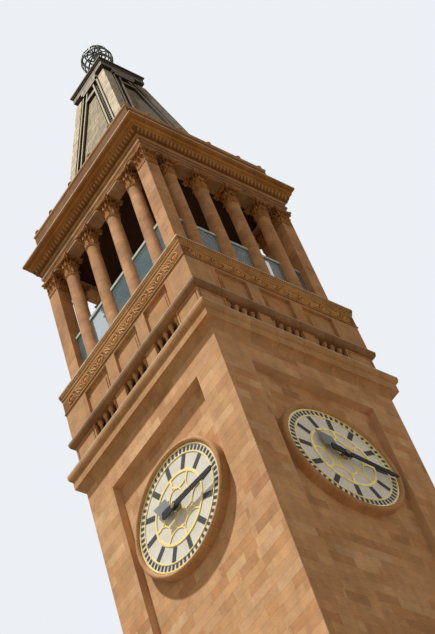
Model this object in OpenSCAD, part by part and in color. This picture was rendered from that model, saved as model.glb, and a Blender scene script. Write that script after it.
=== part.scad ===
// Stone clock tower, modelled at one tenth of its real size.
// Millimetres, +Z up. The origin is the middle of the underside of the ground slab.
// The front is the -Y side. All four sides are alike, apart from the doorway in front.

/* [Shaft] */
// Width of the shaft across its corner piers
shaft_w = 883; // [860:1:930]
// Width of a corner pier on each of its two faces
pier_w = 148.5; // [135:0.5:160]
// Distance from a clock's drum to the corner pier beside it
drum_margin = 28; // [20:0.5:36]
// Depth of the tall recess between the piers
recess_d = 35; // [30:1:38]
// Thickness of the wall panel at the back of the recess
panel_t = 60; // [45:1:80]
// Height from the ground to the top of the recess
recess_top = 4907; // [4600:1:5200]
// Height of the plain wall head over the recess
head_h = 118; // [90:1:150]
// Thickness of the ground slab
floor_t = 40; // [30:1:60]
// Height of the plinth course on the slab
plinth_h = 150; // [110:1:180]
// Projection of the plinth course past the shaft
plinth_out = 24; // [12:1:30]

/* [Doorway] */
// Clear width of the doorway
door_w = 120; // [90:1:150]
// Clear height of the doorway over the slab
door_h = 270; // [240:1:330]
// Thickness of the door leaf
door_t = 8; // [5:0.5:14]
// Width of the stone frame round the doorway
door_frame_w = 22; // [14:1:34]

/* [Clocks] */
// Distance from the top of the recess down to the dial centre
dial_drop = 407; // [380:1:450]
// Thickness of the drum's round edge
drum_edge = 20; // [16:1:24]
// Height of the drum off the wall panel, without its bead
drum_h = 30; // [29.5:0.5:34]
// Depth of the dial's face behind the drum's shoulder
dial_sink = 2; // [1:0.5:3]
// Thickness of the dial disc
dial_t = 8; // [5:0.5:12]
// Distance from the edge of a dial to the minute blocks
dial_margin = 11; // [9:0.5:15]
// Width of the minute track
track_w = 22; // [18:1:26]
// Width of one hour baton
baton_w = 21; // [12:1:24]
// Gap between the thick inner ring and the hour batons
baton_gap = 4; // [2:0.5:8]
// Mean radius of the thick inner ring
inner_ring_r = 140; // [132:1:144]
// Radius of the four middle circles of the tracery
lobe_r = 38; // [35:0.5:41]
// Width of the tracery's bars
tracery_w = 4.5; // [3.5:0.5:6]
// Thickness of the metal rings and tracery
tracery_t = 2.5; // [1.5:0.5:3.5]
// Reach of a minute hand past the outer ends of the minute blocks
minute_past = 2; // [-6:0.5:5]
// Half width of a minute hand at its axle
minute_half_w = 13; // [9:0.5:15]
// Length of an hour hand from its axle
hour_len = 143; // [125:1:170]
// Half width of an hour hand's pointed head
hour_half_w = 36; // [26:1:42]
// Thickness of a hand
hand_t = 4; // [3:0.5:5]
// Radius of the axle that carries the hands
axle_r = 6; // [4:0.5:8]
// Running clearance at the axles and between the hubs
axle_play = 0.3; // [0.2:0.1:0.5]
// Hour that the clocks show
hour_shown = 10; // [0:1:11]
// Minute that the clocks show
minute_shown = 16.3; // [0:0.1:59]

/* [Lower cornice and gallery] */
// Height of the hollow moulding under the cornice
cove_h = 37; // [30:1:44]
// Height of the cornice's flat band
band_h = 46; // [38:1:56]
// Projection of the flat band
band_out = 29.5; // [24:0.5:34]
// Height of the moulding over the flat band
crown_h = 37; // [30:1:44]
// Projection of the cornice's top edge
crown_out = 42; // [37:0.5:50]
// Height of the gallery's balustrade
gallery_h = 143; // [125:1:170]
// Depth of the niches behind the balusters
niche_d = 36; // [30:1:44]
// Width of one niche with its row of balusters
niche_w = 158; // [150:1:164]
// Width of the plain blocks between the niches
block_w = 62; // [56:1:68]
// Balusters in one niche
baluster_count = 4; // [3:1:5]
// Largest radius of a baluster
baluster_r = 13.5; // [10:0.5:14]
// Height of the rail over the balusters
rail_h = 38; // [30:1:46]
// Projection of the rail
rail_out = 17.5; // [14:0.5:24]

/* [Pedestal and belfry floor] */
// Height of the panelled wall over the gallery
dado_h = 174; // [150:1:200]
// Depth of its panels
dado_d = 14; // [9:1:18]
// Width of the raised tablet in a panel
tablet_w = 122; // [110:1:130]
// Height of the raised tablet
tablet_h = 126; // [110:1:132]
// Height of the raised tablet over the panel's back
tablet_d = 8; // [5:0.5:9]
// Height of the carved band and top edge over the panels
frieze_rail_h = 123; // [105:1:140]
// Thickness of the belfry floor
deck_t = 43; // [34:1:50]
// Distance from the rail's top edge down to the belfry floor
deck_drop = 20; // [10:1:34]

/* [Belfry] */
// Setback of the belfry piers from the shaft's face
belfry_in = 38.5; // [32:0.5:46]
// Width of a belfry corner pier
post_w = 66; // [60:1:70]
// Distance from the middle of a corner pier to the middle of the column beside it
post_gap = 113.5; // [108:0.5:120]
// Radius of a column at its foot
column_r = 32; // [28:0.5:33]
// Radius of a column at its neck
neck_r = 28; // [25:0.5:28]
// Height from the belfry floor to the architrave
order_h = 797; // [760:1:850]
// Height of the capitals
capital_h = 115; // [100:1:130]
// Projection of a capital's top slab past the post or column line
abacus_out = 14; // [10:0.5:16]
// Width of one leaf of a capital
leaf_w = 19; // [15:0.5:22]
// Radius of the volutes at a capital's corners
volute_r = 9; // [7:0.5:10]
// Height of the base mouldings
base_h = 46; // [38:1:54]
// Height of the glass screens over the floor
glass_h = 318; // [260:1:360]
// Thickness of the glass
glass_t = 6; // [4:0.5:8]

/* [Entablature and parapet] */
// Height of the architrave's flat face
architrave_h = 30; // [24:1:38]
// Height of the projecting band on the architrave
taenia_h = 15; // [11:1:20]
// Height of the plain frieze
frieze_h = 23; // [18:1:32]
// Height of the main cornice
cornice_h = 105; // [92:1:120]
// Projection of the main cornice past the belfry piers
cornice_out = 59; // [50:1:66]
// Height of the parapet
parapet_h = 205; // [180:1:230]
// Thickness of the parapet
parapet_t = 32; // [26:1:38]
// Thickness of the roof slab
roof_t = 30; // [22:1:40]

/* [Spire] */
// Half width of the spire at the roof slab
spire_foot = 319; // [300:1:330]
// Half width of the spire at its top
spire_head = 130; // [126:1:136]
// Height of the spire's corner piers over the roof slab
spire_h = 1167; // [1100:1:1250]
// Width of the spire's corner piers
spire_pier_w = 52; // [47:1:56]
// Width of the groove beside a corner pier
pier_groove_w = 10; // [8:1:12]
// Width of the thin ribs on both sides of a slot
rib_w = 9; // [7:0.5:10]
// Width of a slot between two ribs
slot_w = 26; // [22:1:28]
// Width of the groove beside the middle panel
panel_groove_w = 14; // [11:1:16]
// Depth of the slots and grooves
slot_d = 34; // [30:1:38]
// Depth of the ribs' faces behind the faces of the piers
rib_set = 1; // [0:0.5:6]
// Depth of the panels' faces behind the faces of the piers
panel_set = 12; // [8:0.5:16]
// Depth of the grilles' faces behind the faces of the piers
grille_set = 15; // [11:0.5:20]
// Distance from one square opening in a slot to the next
opening_pitch = 32; // [26:1:40]
// Height of the bars between the openings
opening_bar = 8; // [6:0.5:11]
// Distance from the top of the spire's panels to the top of its piers
panel_drop = 125; // [105:1:145]
// Thickness of the spire's inner shell
shell_t = 24; // [18:1:30]
// Height of the dark gap under the cap
cap_gap = 45; // [34:1:56]
// Height of the cap's flat band
cap_band_h = 28; // [22:1:34]
// Height of the hollow moulding over the band
cap_cove_h = 26; // [20:1:32]
// Height of the cap's top edge
cap_slab_h = 8; // [6:0.5:12]
// Half width of the cap's top slab
cap_half = 142; // [139:1:150]

/* [Globe] */
// Radius of the wire globe
globe_r = 88; // [78:1:100]
// Height of the globe's centre over the cap
globe_rise = 289; // [260:1:320]
// Thickness of the globe's bars
wire_t = 7; // [5:0.5:9]
// Radius of the stem through the globe
stem_r = 9; // [7:0.5:11]
// Length of the spike over the globe
spike_h = 144; // [110:1:170]

/* [Hidden] */
$fn = 48;

// Colours of the finishes
sandstone = "burlywood";
orange_stone = "peru";
cream_stone = "antiquewhite";
dark_slot = "dimgray";
dark_metal = "darkslategray";
gold = "gold";

// Half widths, from the axis outwards
shaft = shaft_w / 2;
recess_half = shaft - pier_w;
panel_face = shaft - recess_d;
wall_back = panel_face - panel_t;
belfry = shaft - belfry_in;
post_in = belfry - post_w;
column_line = belfry - post_w / 2;
parapet_face = belfry - 6;
reach = 2 * shaft;
seat = 0.3;

// Heights, from the ground up
z_plinth = floor_t + plinth_h;
z_dial = recess_top - dial_drop;
z_cornice = recess_top + head_h;
z_gallery = z_cornice + cove_h + band_h + crown_h;
z_rail = z_gallery + gallery_h;
z_dado = z_rail + rail_h;
z_frieze_rail = z_dado + dado_h;
z_rail_top = z_frieze_rail + frieze_rail_h;
z_deck = z_rail_top - deck_drop;
z_capital = z_deck + order_h - capital_h;
z_architrave = z_deck + order_h;
z_bed = z_architrave + architrave_h + taenia_h + frieze_h;
z_roof = z_bed + cornice_h;
z_parapet = z_roof + parapet_h;
z_spire = z_roof + roof_t;
z_spire_top = z_spire + spire_h;
z_cap = z_spire_top + cap_gap;
z_cap_top = z_cap + cap_band_h + cap_cove_h + cap_slab_h;
z_globe = z_cap_top + globe_rise;

// Columns along one side
columns_per_side = 4;
column_pitch = 2 * (column_line - post_gap) / (columns_per_side - 1);
column_x = [for (i = [0:columns_per_side - 1]) (i - (columns_per_side - 1) / 2) * column_pitch];

// Radii on a dial, from its edge inwards
drum_r = recess_half - drum_margin;
dial_r = drum_r - drum_edge;
track_out_r = dial_r - dial_margin;
track_r = track_out_r - track_w;
minute_len = track_out_r + minute_past;

// Stack on a dial, measured outwards from the wall panel
dial_face = drum_h - dial_sink;
hand_gap = 5;
hour_z = dial_face + tracery_t + hand_gap + 5;
minute_z = hour_z + hand_t + hand_gap;
axle_end = minute_z + hand_t + axle_play;
hub_r = 2.8 * axle_r;
track_bar = 4;

// Angles of the hands, clockwise from twelve
minute_angle = minute_shown * 6;
hour_angle = (hour_shown + minute_shown / 60) * 30;

// The niches along one side
niche_x = [for (i = [-1:1]) i * (niche_w + block_w)];

// Points of an arc round centre c
function arc(c, r, from, to, steps = 6) =
    [for (i = [0:steps]) c + r * [cos(from + (to - from) * i / steps), sin(from + (to - from) * i / steps)]];

// A half outline [half width, height] closed by its mirror image
function both_sides(half) =
    concat(half, [for (i = [len(half) - 1:-1:0]) [-half[i][0], half[i][1]]]);

// Four copies, one on each side of the tower
module each_side() {
    for (side = [0:3])
        rotate([0, 0, 90 * side])
            children();
}

// A block whose four sides all follow one half outline, mitred at the corners
module square_block(half) {
    intersection() {
        rotate([90, 0, 0])
            linear_extrude(height = 4 * reach, center = true)
                polygon(both_sides(half));
        rotate([90, 0, 90])
            linear_extrude(height = 4 * reach, center = true)
                polygon(both_sides(half));
    }
}

// The same with a square well of half width inner
module square_ring(half, inner) {
    low = half[0][1];
    high = half[len(half) - 1][1];
    difference() {
        square_block(half);
        translate([-inner, -inner, low - 1])
            cube([2 * inner, 2 * inner, high - low + 2]);
    }
}

// A square post centred on the axis, from z0 up
module post(width, z0, height) {
    translate([-width / 2, -width / 2, z0])
        cube([width, width, height]);
}

// A wall piece on the front side: x range, depth range from the axis outwards, z range
module front_slab(x0, x1, d0, d1, z0, z1) {
    translate([x0, -d1, z0])
        cube([x1 - x0, d1 - d0, z1 - z0]);
}

module ground_slab() {
    color(sandstone)
        post(2 * (shaft + plinth_out), 0, floor_t);
}

module plinth_course() {
    slope = 12;
    color(sandstone)
        difference() {
            square_ring([
                [shaft + plinth_out, floor_t],
                [shaft + plinth_out, z_plinth - slope],
                [shaft, z_plinth]
            ], wall_back);
            front_slab(-door_w / 2 - door_frame_w, door_w / 2 + door_frame_w,
                wall_back - 1, shaft + plinth_out + 1, floor_t - 1, z_plinth + 1);
        }
}

module corner_piers() {
    color(sandstone)
        each_side()
            translate([-shaft, -shaft, z_plinth])
                cube([pier_w, pier_w, recess_top - z_plinth]);
}

module wall_panels() {
    color(sandstone) {
        for (side = [1:3])
            rotate([0, 0, 90 * side])
                front_slab(-recess_half, recess_half, wall_back, panel_face, z_plinth, recess_top);
        difference() {
            front_slab(-recess_half, recess_half, wall_back, panel_face, z_plinth, recess_top);
            front_slab(-door_w / 2 - door_frame_w, door_w / 2 + door_frame_w,
                wall_back - 1, panel_face + 1, z_plinth - 1, floor_t + door_h + door_frame_w);
        }
    }
}

module wall_head() {
    color(sandstone)
        square_ring([[shaft, recess_top], [shaft, z_cornice]], wall_back);
}

module door_frame() {
    jamb = door_w / 2;
    outer = jamb + door_frame_w;
    face = shaft + plinth_out;
    color(sandstone)
        difference() {
            front_slab(-outer, outer, wall_back, face, floor_t, floor_t + door_h + door_frame_w);
            front_slab(-jamb, jamb, wall_back - 1, face + 1, floor_t - 1, floor_t + door_h);
        }
}

module door_leaf() {
    rail = 12;
    panel_d = 2;
    rows = 3;
    pitch = (door_h - rail) / rows;
    back = panel_face - door_t;
    color("saddlebrown")
        difference() {
            front_slab(-door_w / 2, door_w / 2, back, panel_face, floor_t, floor_t + door_h);
            for (row = [0:rows - 1])
                for (x = [-1, 1])
                    translate([x * (door_w / 4 - rail / 4), 0, 0])
                        front_slab(-(door_w / 4 - 0.75 * rail), door_w / 4 - 0.75 * rail,
                            panel_face - panel_d, panel_face + 1,
                            floor_t + rail + row * pitch, floor_t + (row + 1) * pitch);
        }
}

// The cornice over the shaft: hollow moulding, flat band and crowning moulding
module lower_cornice() {
    fillet = 3;
    slab_h = 12;
    z_band = z_cornice + cove_h;
    z_crown = z_band + band_h;
    cove = [for (i = [0:5])
        [shaft + (band_out - fillet) * (1 - cos(18 * i)), z_cornice + cove_h * sin(18 * i)]];
    crown = [for (i = [0:4])
        [shaft + band_out + (crown_out - band_out) * sin(22.5 * i),
         z_crown + (crown_h - slab_h) * (1 - cos(22.5 * i))]];
    color(sandstone)
        square_ring(concat(
            cove,
            [[shaft + band_out, z_band], [shaft + band_out, z_crown]],
            crown,
            [[shaft + crown_out, z_gallery]]
        ), wall_back);
}

// The gallery wall with niches for the balusters and a framed panel on each end block
module gallery_wall() {
    face = shaft - 1;
    frame = 9;
    groove = 5;
    cut = 4;
    end_block = niche_x[2] + niche_w / 2;
    color(sandstone)
        difference() {
            square_ring([[face, z_gallery], [face, z_rail]], wall_back);
            each_side() {
                for (x = niche_x)
                    front_slab(x - niche_w / 2, x + niche_w / 2,
                        shaft - niche_d, shaft + 1, z_gallery - 1, z_rail + 1);
                for (flip = [0, 1])
                    mirror([flip, 0, 0])
                        difference() {
                            front_slab(end_block + frame, face - frame, face - cut, face + 1,
                                z_gallery + frame, z_rail - frame);
                            front_slab(end_block + frame + groove, face - frame - groove,
                                face - cut - 1, face + 2,
                                z_gallery + frame + groove, z_rail - frame - groove);
                        }
            }
        }
}

// One turned baluster standing between z = 0 and z = h
module baluster(h) {
    r = baluster_r;
    rotate_extrude($fn = 24)
        polygon(concat(
            [[0, 0], [0.8 * r, 0], [0.8 * r, 0.06 * h]],
            arc([0.42 * r, 0.33 * h], 0.58 * r, -60, 60, 4),
            [[0.42 * r, 0.62 * h], [0.5 * r, 0.86 * h], [0.8 * r, 0.9 * h], [0.8 * r, h], [0, h]]
        ));
}

module balusters() {
    pitch = niche_w / baluster_count;
    color(sandstone)
        each_side()
            for (x = niche_x)
                for (i = [0:baluster_count - 1])
                    translate([x + (i - (baluster_count - 1) / 2) * pitch, -(shaft - niche_d / 2), z_gallery])
                        baluster(gallery_h);
}

module gallery_rail() {
    lip = 7;
    color(sandstone)
        square_ring(concat(
            [[shaft, z_rail]],
            [for (i = [1:4])
                [shaft + rail_out * sin(22.5 * i), z_rail + (rail_h - lip) * (1 - cos(22.5 * i))]],
            [[shaft + rail_out, z_dado]]
        ), wall_back);
}

// The panelled wall over the gallery
module dado_wall() {
    top_rail = 14;
    face = shaft + 2;
    color(sandstone)
        difference() {
            union() {
                square_ring([[face, z_dado], [face, z_frieze_rail]], wall_back);
                square_ring([[rail_well, z_frieze_rail], [rail_well, z_deck - deck_t]], wall_back);
            }
            each_side()
                for (x = niche_x)
                    front_slab(x - niche_w / 2, x + niche_w / 2,
                        face - dado_d, face + 1, z_dado - 1, z_frieze_rail - top_rail);
        }
}

// Raised tablets in the panels, each with a thin shoulder and a small bar near its foot
module dado_tablets() {
    back = shaft + 2 - dado_d;
    shoulder = 9;
    bar_half = 30;
    bar_z = 12;
    bar_h = 8;
    color(sandstone)
        each_side()
            for (x = niche_x) {
                front_slab(x - tablet_w / 2, x + tablet_w / 2, back, back + tablet_d / 2,
                    z_dado, z_dado + tablet_h);
                front_slab(x - tablet_w / 2 + shoulder, x + tablet_w / 2 - shoulder, back, back + tablet_d,
                    z_dado, z_dado + tablet_h - shoulder);
                front_slab(x - bar_half, x + bar_half, back, back + tablet_d + 3,
                    z_dado + bar_z, z_dado + bar_z + bar_h);
            }
}

// Half width of the well in the carved rail, which the belfry floor fills
rail_well = shaft - 12;

// The band that is carved with scrolls, and its top edge
module frieze_rail() {
    base = shaft + 3;
    z0 = z_frieze_rail;
    h = frieze_rail_h;
    color(sandstone)
        square_ring([
            [base + 3, z0],
            [base + 3, z0 + 5],
            [base + 1, z0 + 6],
            [base + 1, z0 + 12],
            [base, z0 + 13],
            [base, z0 + 0.69 * h],
            [base + 3, z0 + 0.7 * h],
            [base + 3, z0 + 0.75 * h],
            [base + 5, z0 + 0.8 * h],
            [base + 7, z0 + 0.88 * h],
            [base + 8, z0 + 0.92 * h],
            [base + 8, z0 + h]
        ], rail_well);
}

module belfry_floor() {
    color(sandstone)
        post(2 * rail_well, z_deck - deck_t, deck_t);
}

// Square post with base mouldings, up to its capital
module belfry_posts() {
    half = post_w / 2;
    color(sandstone)
        each_side()
            translate([column_line, -column_line, 0])
                square_block([
                    [half + 9, z_deck],
                    [half + 9, z_deck + 0.35 * base_h],
                    [half + 6, z_deck + 0.4 * base_h],
                    [half + 6, z_deck + 0.65 * base_h],
                    [half + 2, z_deck + 0.75 * base_h],
                    [half + 2, z_deck + 0.9 * base_h],
                    [half, z_deck + base_h],
                    [half, z_capital]
                ]);
}

// One curling leaf that stands in front of the axis: foot at distance out, height h, width w
module leaf(out, h, w) {
    curl = 0.3 * w;
    intersection() {
        rotate([90, 0, 90])
            linear_extrude(height = w, center = true)
                polygon([
                    [-out + 2, 0], [-out - 3, 0], [-out - 4, 0.65 * h], [-out - curl - 4, 0.8 * h],
                    [-out - curl - 4, 0.92 * h], [-out - curl + 1, h], [-out + 2, 0.85 * h]
                ]);
        rotate([90, 0, 0])
            linear_extrude(height = 2 * out)
                polygon([
                    [-0.4 * w, 0], [0.4 * w, 0], [w / 2, 0.5 * h],
                    [0.3 * w, h], [-0.3 * w, h], [-w / 2, 0.5 * h]
                ]);
    }
}

// A scroll on its stalk under one corner of a capital: foot at distance out, corner at distance tip
module volute(out, tip) {
    h = capital_h;
    z = 0.86 * h - volute_r;
    rotate([90, 0, 90])
        linear_extrude(height = 0.5 * leaf_w, center = true)
            polygon(concat(
                [[-out, 0.52 * h], [-out - 3, 0.52 * h]],
                arc([-tip + volute_r, z], volute_r, -120, -270, 5),
                [[-out, z + volute_r]]
            ));
}

// Top slab of a capital with four hollow sides and a small boss in the middle of each
module abacus() {
    half = post_w / 2 + abacus_out;
    hollow_r = 2.7 * half;
    hollow_d = 7;
    z0 = 0.86 * capital_h;
    boss_h = 12;
    difference() {
        post(2 * half, z0, capital_h - z0);
        for (side = [0:3])
            rotate([0, 0, 90 * side])
                translate([0, -half - hollow_r + hollow_d, z0 - 1])
                    cylinder(r = hollow_r, h = capital_h - z0 + 2, $fn = 96);
    }
    for (side = [0:3])
        rotate([0, 0, 90 * side])
            translate([0, boss_h - half, (z0 + capital_h) / 2])
                rotate([90, 0, 0])
                    cylinder(r = 0.4 * (capital_h - z0), h = boss_h - 1, $fn = 16);
}

// Square capital of a corner post: neck mould, two rows of leaves, scrolls and top slab
module post_capital() {
    half = post_w / 2;
    h = capital_h;
    low = 0.4 * h;
    high = 0.66 * h;
    neck = 6;
    square_block([
        [half + 3, 0], [half + 3, neck], [half, neck + 2], [half, 0.5 * h], [half + 4, 0.86 * h],
        [half + 4, 0.88 * h]
    ]);
    abacus();
    for (side = [0:3])
        rotate([0, 0, 90 * side]) {
            for (x = [-1, 1])
                translate([x * half / 2, 0, neck])
                    leaf(half, low, 1.3 * leaf_w);
            for (x = [-1, 0, 1])
                translate([x * (half - leaf_w / 2 - 1), 0, neck])
                    leaf(half - 1, high, leaf_w);
            rotate([0, 0, 45])
                volute(1.25 * half, (half + abacus_out) * 1.3);
        }
}

module post_capitals() {
    color(sandstone)
        each_side()
            translate([column_line, -column_line, z_capital])
                post_capital();
}

// Radius of a column's shaft at the height share t, with a slight swelling
function shaft_r(t) = column_r - (column_r - neck_r) * pow(t, 1.8);

// One column on the belfry floor, with its base and neck ring
module column() {
    h = order_h - capital_h;
    plinth = 0.3 * base_h;
    r = column_r;
    post(2 * (r + 9), 0, plinth);
    rotate_extrude($fn = 48)
        polygon(concat(
            [[0, plinth - 1], [r, plinth - 1]],
            arc([r + 2, plinth + 0.18 * base_h], 0.18 * base_h * 0.9, -90, 90, 5),
            [[r + 3, plinth + 0.4 * base_h]],
            arc([r + 1, plinth + 0.52 * base_h], 0.11 * base_h, -70, 90, 4),
            [for (i = [0:6]) [shaft_r(i / 6), base_h + (h - base_h - 9) * i / 6]],
            arc([neck_r, h - 4], 4, -90, 90, 4),
            [[0, h]]
        ));
}

module columns() {
    color(sandstone)
        each_side()
            for (x = column_x)
                translate([x, -column_line, z_deck])
                    column();
}

// Round capital of a column: bell, two rows of leaves, scrolls and top slab
module column_capital() {
    h = capital_h;
    low = 0.38 * h;
    high = 0.66 * h;
    leaves = 8;
    rotate_extrude($fn = 32)
        polygon([
            [0, 0], [neck_r, 0], [neck_r, 0.5 * h],
            [neck_r + 4, 0.7 * h], [neck_r + 9, 0.86 * h], [neck_r + 9, 0.88 * h], [0, 0.88 * h]
        ]);
    abacus();
    for (i = [0:leaves - 1])
        rotate([0, 0, 360 * i / leaves]) {
            leaf(neck_r, high, leaf_w);
            rotate([0, 0, 180 / leaves])
                leaf(neck_r + 1.5, low, leaf_w);
        }
    for (side = [0:3])
        rotate([0, 0, 45 + 90 * side])
            volute(neck_r, (post_w / 2 + abacus_out) * 1.3);
}

module column_capitals() {
    color(sandstone)
        each_side()
            for (x = column_x)
                translate([x, -column_line, z_capital])
                    column_capital();
}

// Ends [from, to] of the glass between neighbours on one side, clear of shafts by seat
glass_bays = concat(
    [[-post_in + seat, column_x[0] - column_r - seat]],
    [for (i = [0:columns_per_side - 2])
        [column_x[i] + column_r + seat, column_x[i + 1] - column_r - seat]],
    [[column_x[columns_per_side - 1] + column_r + seat, post_in - seat]]
);

module glass_screens() {
    foot = 9 + seat;
    z_wide = z_deck + base_h;
    color("lightblue", 0.5)
        each_side()
            for (bay = glass_bays) {
                front_slab(bay[0], bay[1], column_line - glass_t / 2, column_line + glass_t / 2,
                    z_wide, z_deck + glass_h);
                front_slab(bay[0] + foot, bay[1] - foot, column_line - glass_t / 2,
                    column_line + glass_t / 2, z_deck, z_wide);
            }
}

module screen_rails() {
    rail = 14;
    color("gainsboro")
        each_side()
            for (bay = glass_bays)
                front_slab(bay[0], bay[1], column_line - rail / 2, column_line + rail / 2,
                    z_deck + glass_h, z_deck + glass_h + rail);
}

// Architrave with its band and the plain frieze over it
module architrave() {
    z_taenia = z_architrave + architrave_h;
    z_frieze = z_taenia + taenia_h;
    color(orange_stone)
        square_ring([
            [belfry, z_architrave],
            [belfry, z_architrave + architrave_h / 2],
            [belfry + 3, z_architrave + architrave_h / 2],
            [belfry + 3, z_taenia],
            [belfry + 9, z_taenia + 2],
            [belfry + 9, z_frieze],
            [belfry, z_frieze],
            [belfry, z_bed]
        ], post_in);
}

module belfry_ceiling() {
    color(orange_stone)
        post(2 * post_in, z_bed - 30, 20);
}

// Main cornice: bed moulding, egg moulding, soffit, corona and crowning moulding
module main_cornice() {
    o = cornice_out;
    h = cornice_h;
    color(orange_stone)
        square_ring(concat(
            [[belfry + 0.1 * o, z_bed], [belfry + 0.16 * o, z_bed + 0.1 * h]],
            [for (i = [0:4])
                [belfry + o * (0.22 + 0.3 * sin(22.5 * i)), z_bed + h * (0.16 + 0.3 * (1 - cos(22.5 * i)))]],
            [[belfry + 0.54 * o, z_bed + 0.56 * h]],
            [[belfry + 0.72 * o, z_bed + 0.58 * h], [belfry + 0.74 * o, z_bed + 0.76 * h]],
            [for (i = [0:4])
                [belfry + o * (0.78 + 0.2 * sin(22.5 * i)), z_bed + h * (0.78 + 0.14 * (1 - cos(22.5 * i)))]],
            [[belfry + o, z_bed + 0.93 * h], [belfry + o, z_roof]]
        ), post_in);
}

module roof_slab() {
    color(sandstone)
        post(2 * (parapet_face - parapet_t), z_roof, roof_t);
}

module parapet() {
    cope = 12;
    color(orange_stone)
        square_ring([
            [parapet_face + 6, z_roof],
            [parapet_face + 6, z_roof + 26],
            [parapet_face, z_roof + 32],
            [parapet_face, z_parapet - cope - 8],
            [parapet_face + 4, z_parapet - cope],
            [parapet_face + 4, z_parapet - 2],
            [parapet_face + 2, z_parapet]
        ], parapet_face - parapet_t);
}

module boss() {
    rotate_extrude($fn = 24)
        polygon(concat(
            [[0, 0], [13, 0], [13, 5], [9, 8]],
            arc([0, 23], 16, -55, 90, 6)
        ));
}

module parapet_bosses() {
    line = parapet_face - parapet_t / 2;
    color(orange_stone)
        each_side()
            for (x = concat([-line], column_x))
                translate([x, -line, z_parapet])
                    boss();
}

// Half width of the spire's outer face at height z
function spire_half(z) = spire_foot + (spire_head - spire_foot) * (z - z_spire) / spire_h;

// A four-sided tapered block that stays inset from the spire's face
module spire_block(inset, z0, z1) {
    square_block([[spire_half(z0) - inset, z0], [spire_half(z1) - inset, z1]]);
}

// Point on one face of the spire at height z, inset from the corner on side s
function spire_point(inset, z, s = 1) = [s * (spire_half(z) - inset), z];

// Outline of a leaning strip on side s: from inset a to inset b from the corner
module spire_outline(s, inset_a, inset_b, z0, z1) {
    polygon([
        spire_point(inset_a, z0, s), spire_point(inset_b, z0, s),
        spire_point(inset_b, z1, s), spire_point(inset_a, z1, s)
    ]);
}

// Insets of the spire's upright parts, from the corner towards the middle of a side
outer_rib_in = spire_pier_w + pier_groove_w;
slot_in = outer_rib_in + rib_w;
inner_rib_in = slot_in + slot_w;
panel_in = inner_rib_in + rib_w + panel_groove_w;

// The lintel that joins the inner ribs over a panel
lintel_h = 30;
panel_top = z_spire_top - panel_drop;
z_lintel = panel_top + lintel_h;

// The middle of all four sides, between the inner slots, from z0 to z1
module spire_panel(inset, z0, z1) {
    intersection() {
        spire_block(inset, z0, z1);
        union()
            for (turn = [0, 90])
                rotate([0, 0, turn])
                    rotate([90, 0, 0])
                        linear_extrude(height = 4 * reach, center = true)
                            polygon(both_sides([
                                spire_point(panel_in, z0), spire_point(panel_in, z1)
                            ]));
    }
}

// Inner shell with the four broad panels
module spire_shell() {
    color(cream_stone)
        difference() {
            union() {
                spire_block(slot_d, z_spire, z_spire_top);
                spire_panel(panel_set, z_spire, panel_top);
            }
            spire_block(slot_d + shell_t, z_spire - 1, z_spire_top + 1);
        }
}

// Four leaning corner piers
module spire_piers() {
    color(cream_stone)
        difference() {
            spire_block(0, z_spire, z_spire_top);
            for (turn = [0, 90])
                rotate([0, 0, turn])
                    rotate([90, 0, 0])
                        linear_extrude(height = 4 * reach, center = true)
                            polygon(both_sides([
                                spire_point(spire_pier_w, z_spire - 1),
                                spire_point(spire_pier_w, z_spire_top + 1)
                            ]));
            spire_block(slot_d, z_spire - 1, z_spire_top + 1);
        }
}

// Thin ribs on both sides of the slots, the inner ones joined by a lintel
module spire_ribs() {
    panel_side = inner_rib_in + rib_w;
    lintel_top = z_lintel + lintel_h;
    color(cream_stone)
        for (turn = [0, 90])
            rotate([0, 0, turn])
                difference() {
                    intersection() {
                        spire_block(rib_set, z_spire, z_spire_top);
                        rotate([90, 0, 0])
                            linear_extrude(height = 4 * reach, center = true) {
                                for (s = [-1, 1])
                                    spire_outline(s, outer_rib_in, slot_in, z_spire, z_spire_top);
                                polygon(both_sides([
                                    spire_point(panel_side, z_lintel), spire_point(panel_side, z_spire),
                                    spire_point(inner_rib_in, z_spire),
                                    spire_point(inner_rib_in, z_spire_top),
                                    spire_point(panel_side, z_spire_top),
                                    spire_point(panel_side, lintel_top)
                                ]));
                            }
                    }
                    spire_block(slot_d, z_spire - 1, z_spire_top + 1);
                }
}

// Leaning grille with a row of square openings, between two insets from the corner
module spire_grille(inset_a, inset_b) {
    stile = 2;
    grille_t = 5;
    openings = floor((spire_h - opening_bar) / opening_pitch);
    for (s = [-1, 1])
        difference() {
            intersection() {
                spire_block(grille_set, z_spire, z_spire_top);
                rotate([90, 0, 0])
                    linear_extrude(height = 4 * reach, center = true)
                        difference() {
                            spire_outline(s, inset_a, inset_b, z_spire, z_spire_top);
                            for (i = [0:openings - 1]) {
                                z0 = z_spire + opening_bar + i * opening_pitch;
                                z1 = z0 + opening_pitch - opening_bar;
                                spire_outline(s, inset_a + stile, inset_b - stile, z0, z1);
                            }
                        }
            }
            spire_block(grille_set + grille_t, z_spire - 1, z_spire_top + 1);
        }
}

// Grilles in the slots between the ribs
module spire_louvres() {
    color(dark_slot)
        for (turn = [0, 90])
            rotate([0, 0, turn])
                spire_grille(slot_in + seat, inner_rib_in - seat);
}

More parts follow.
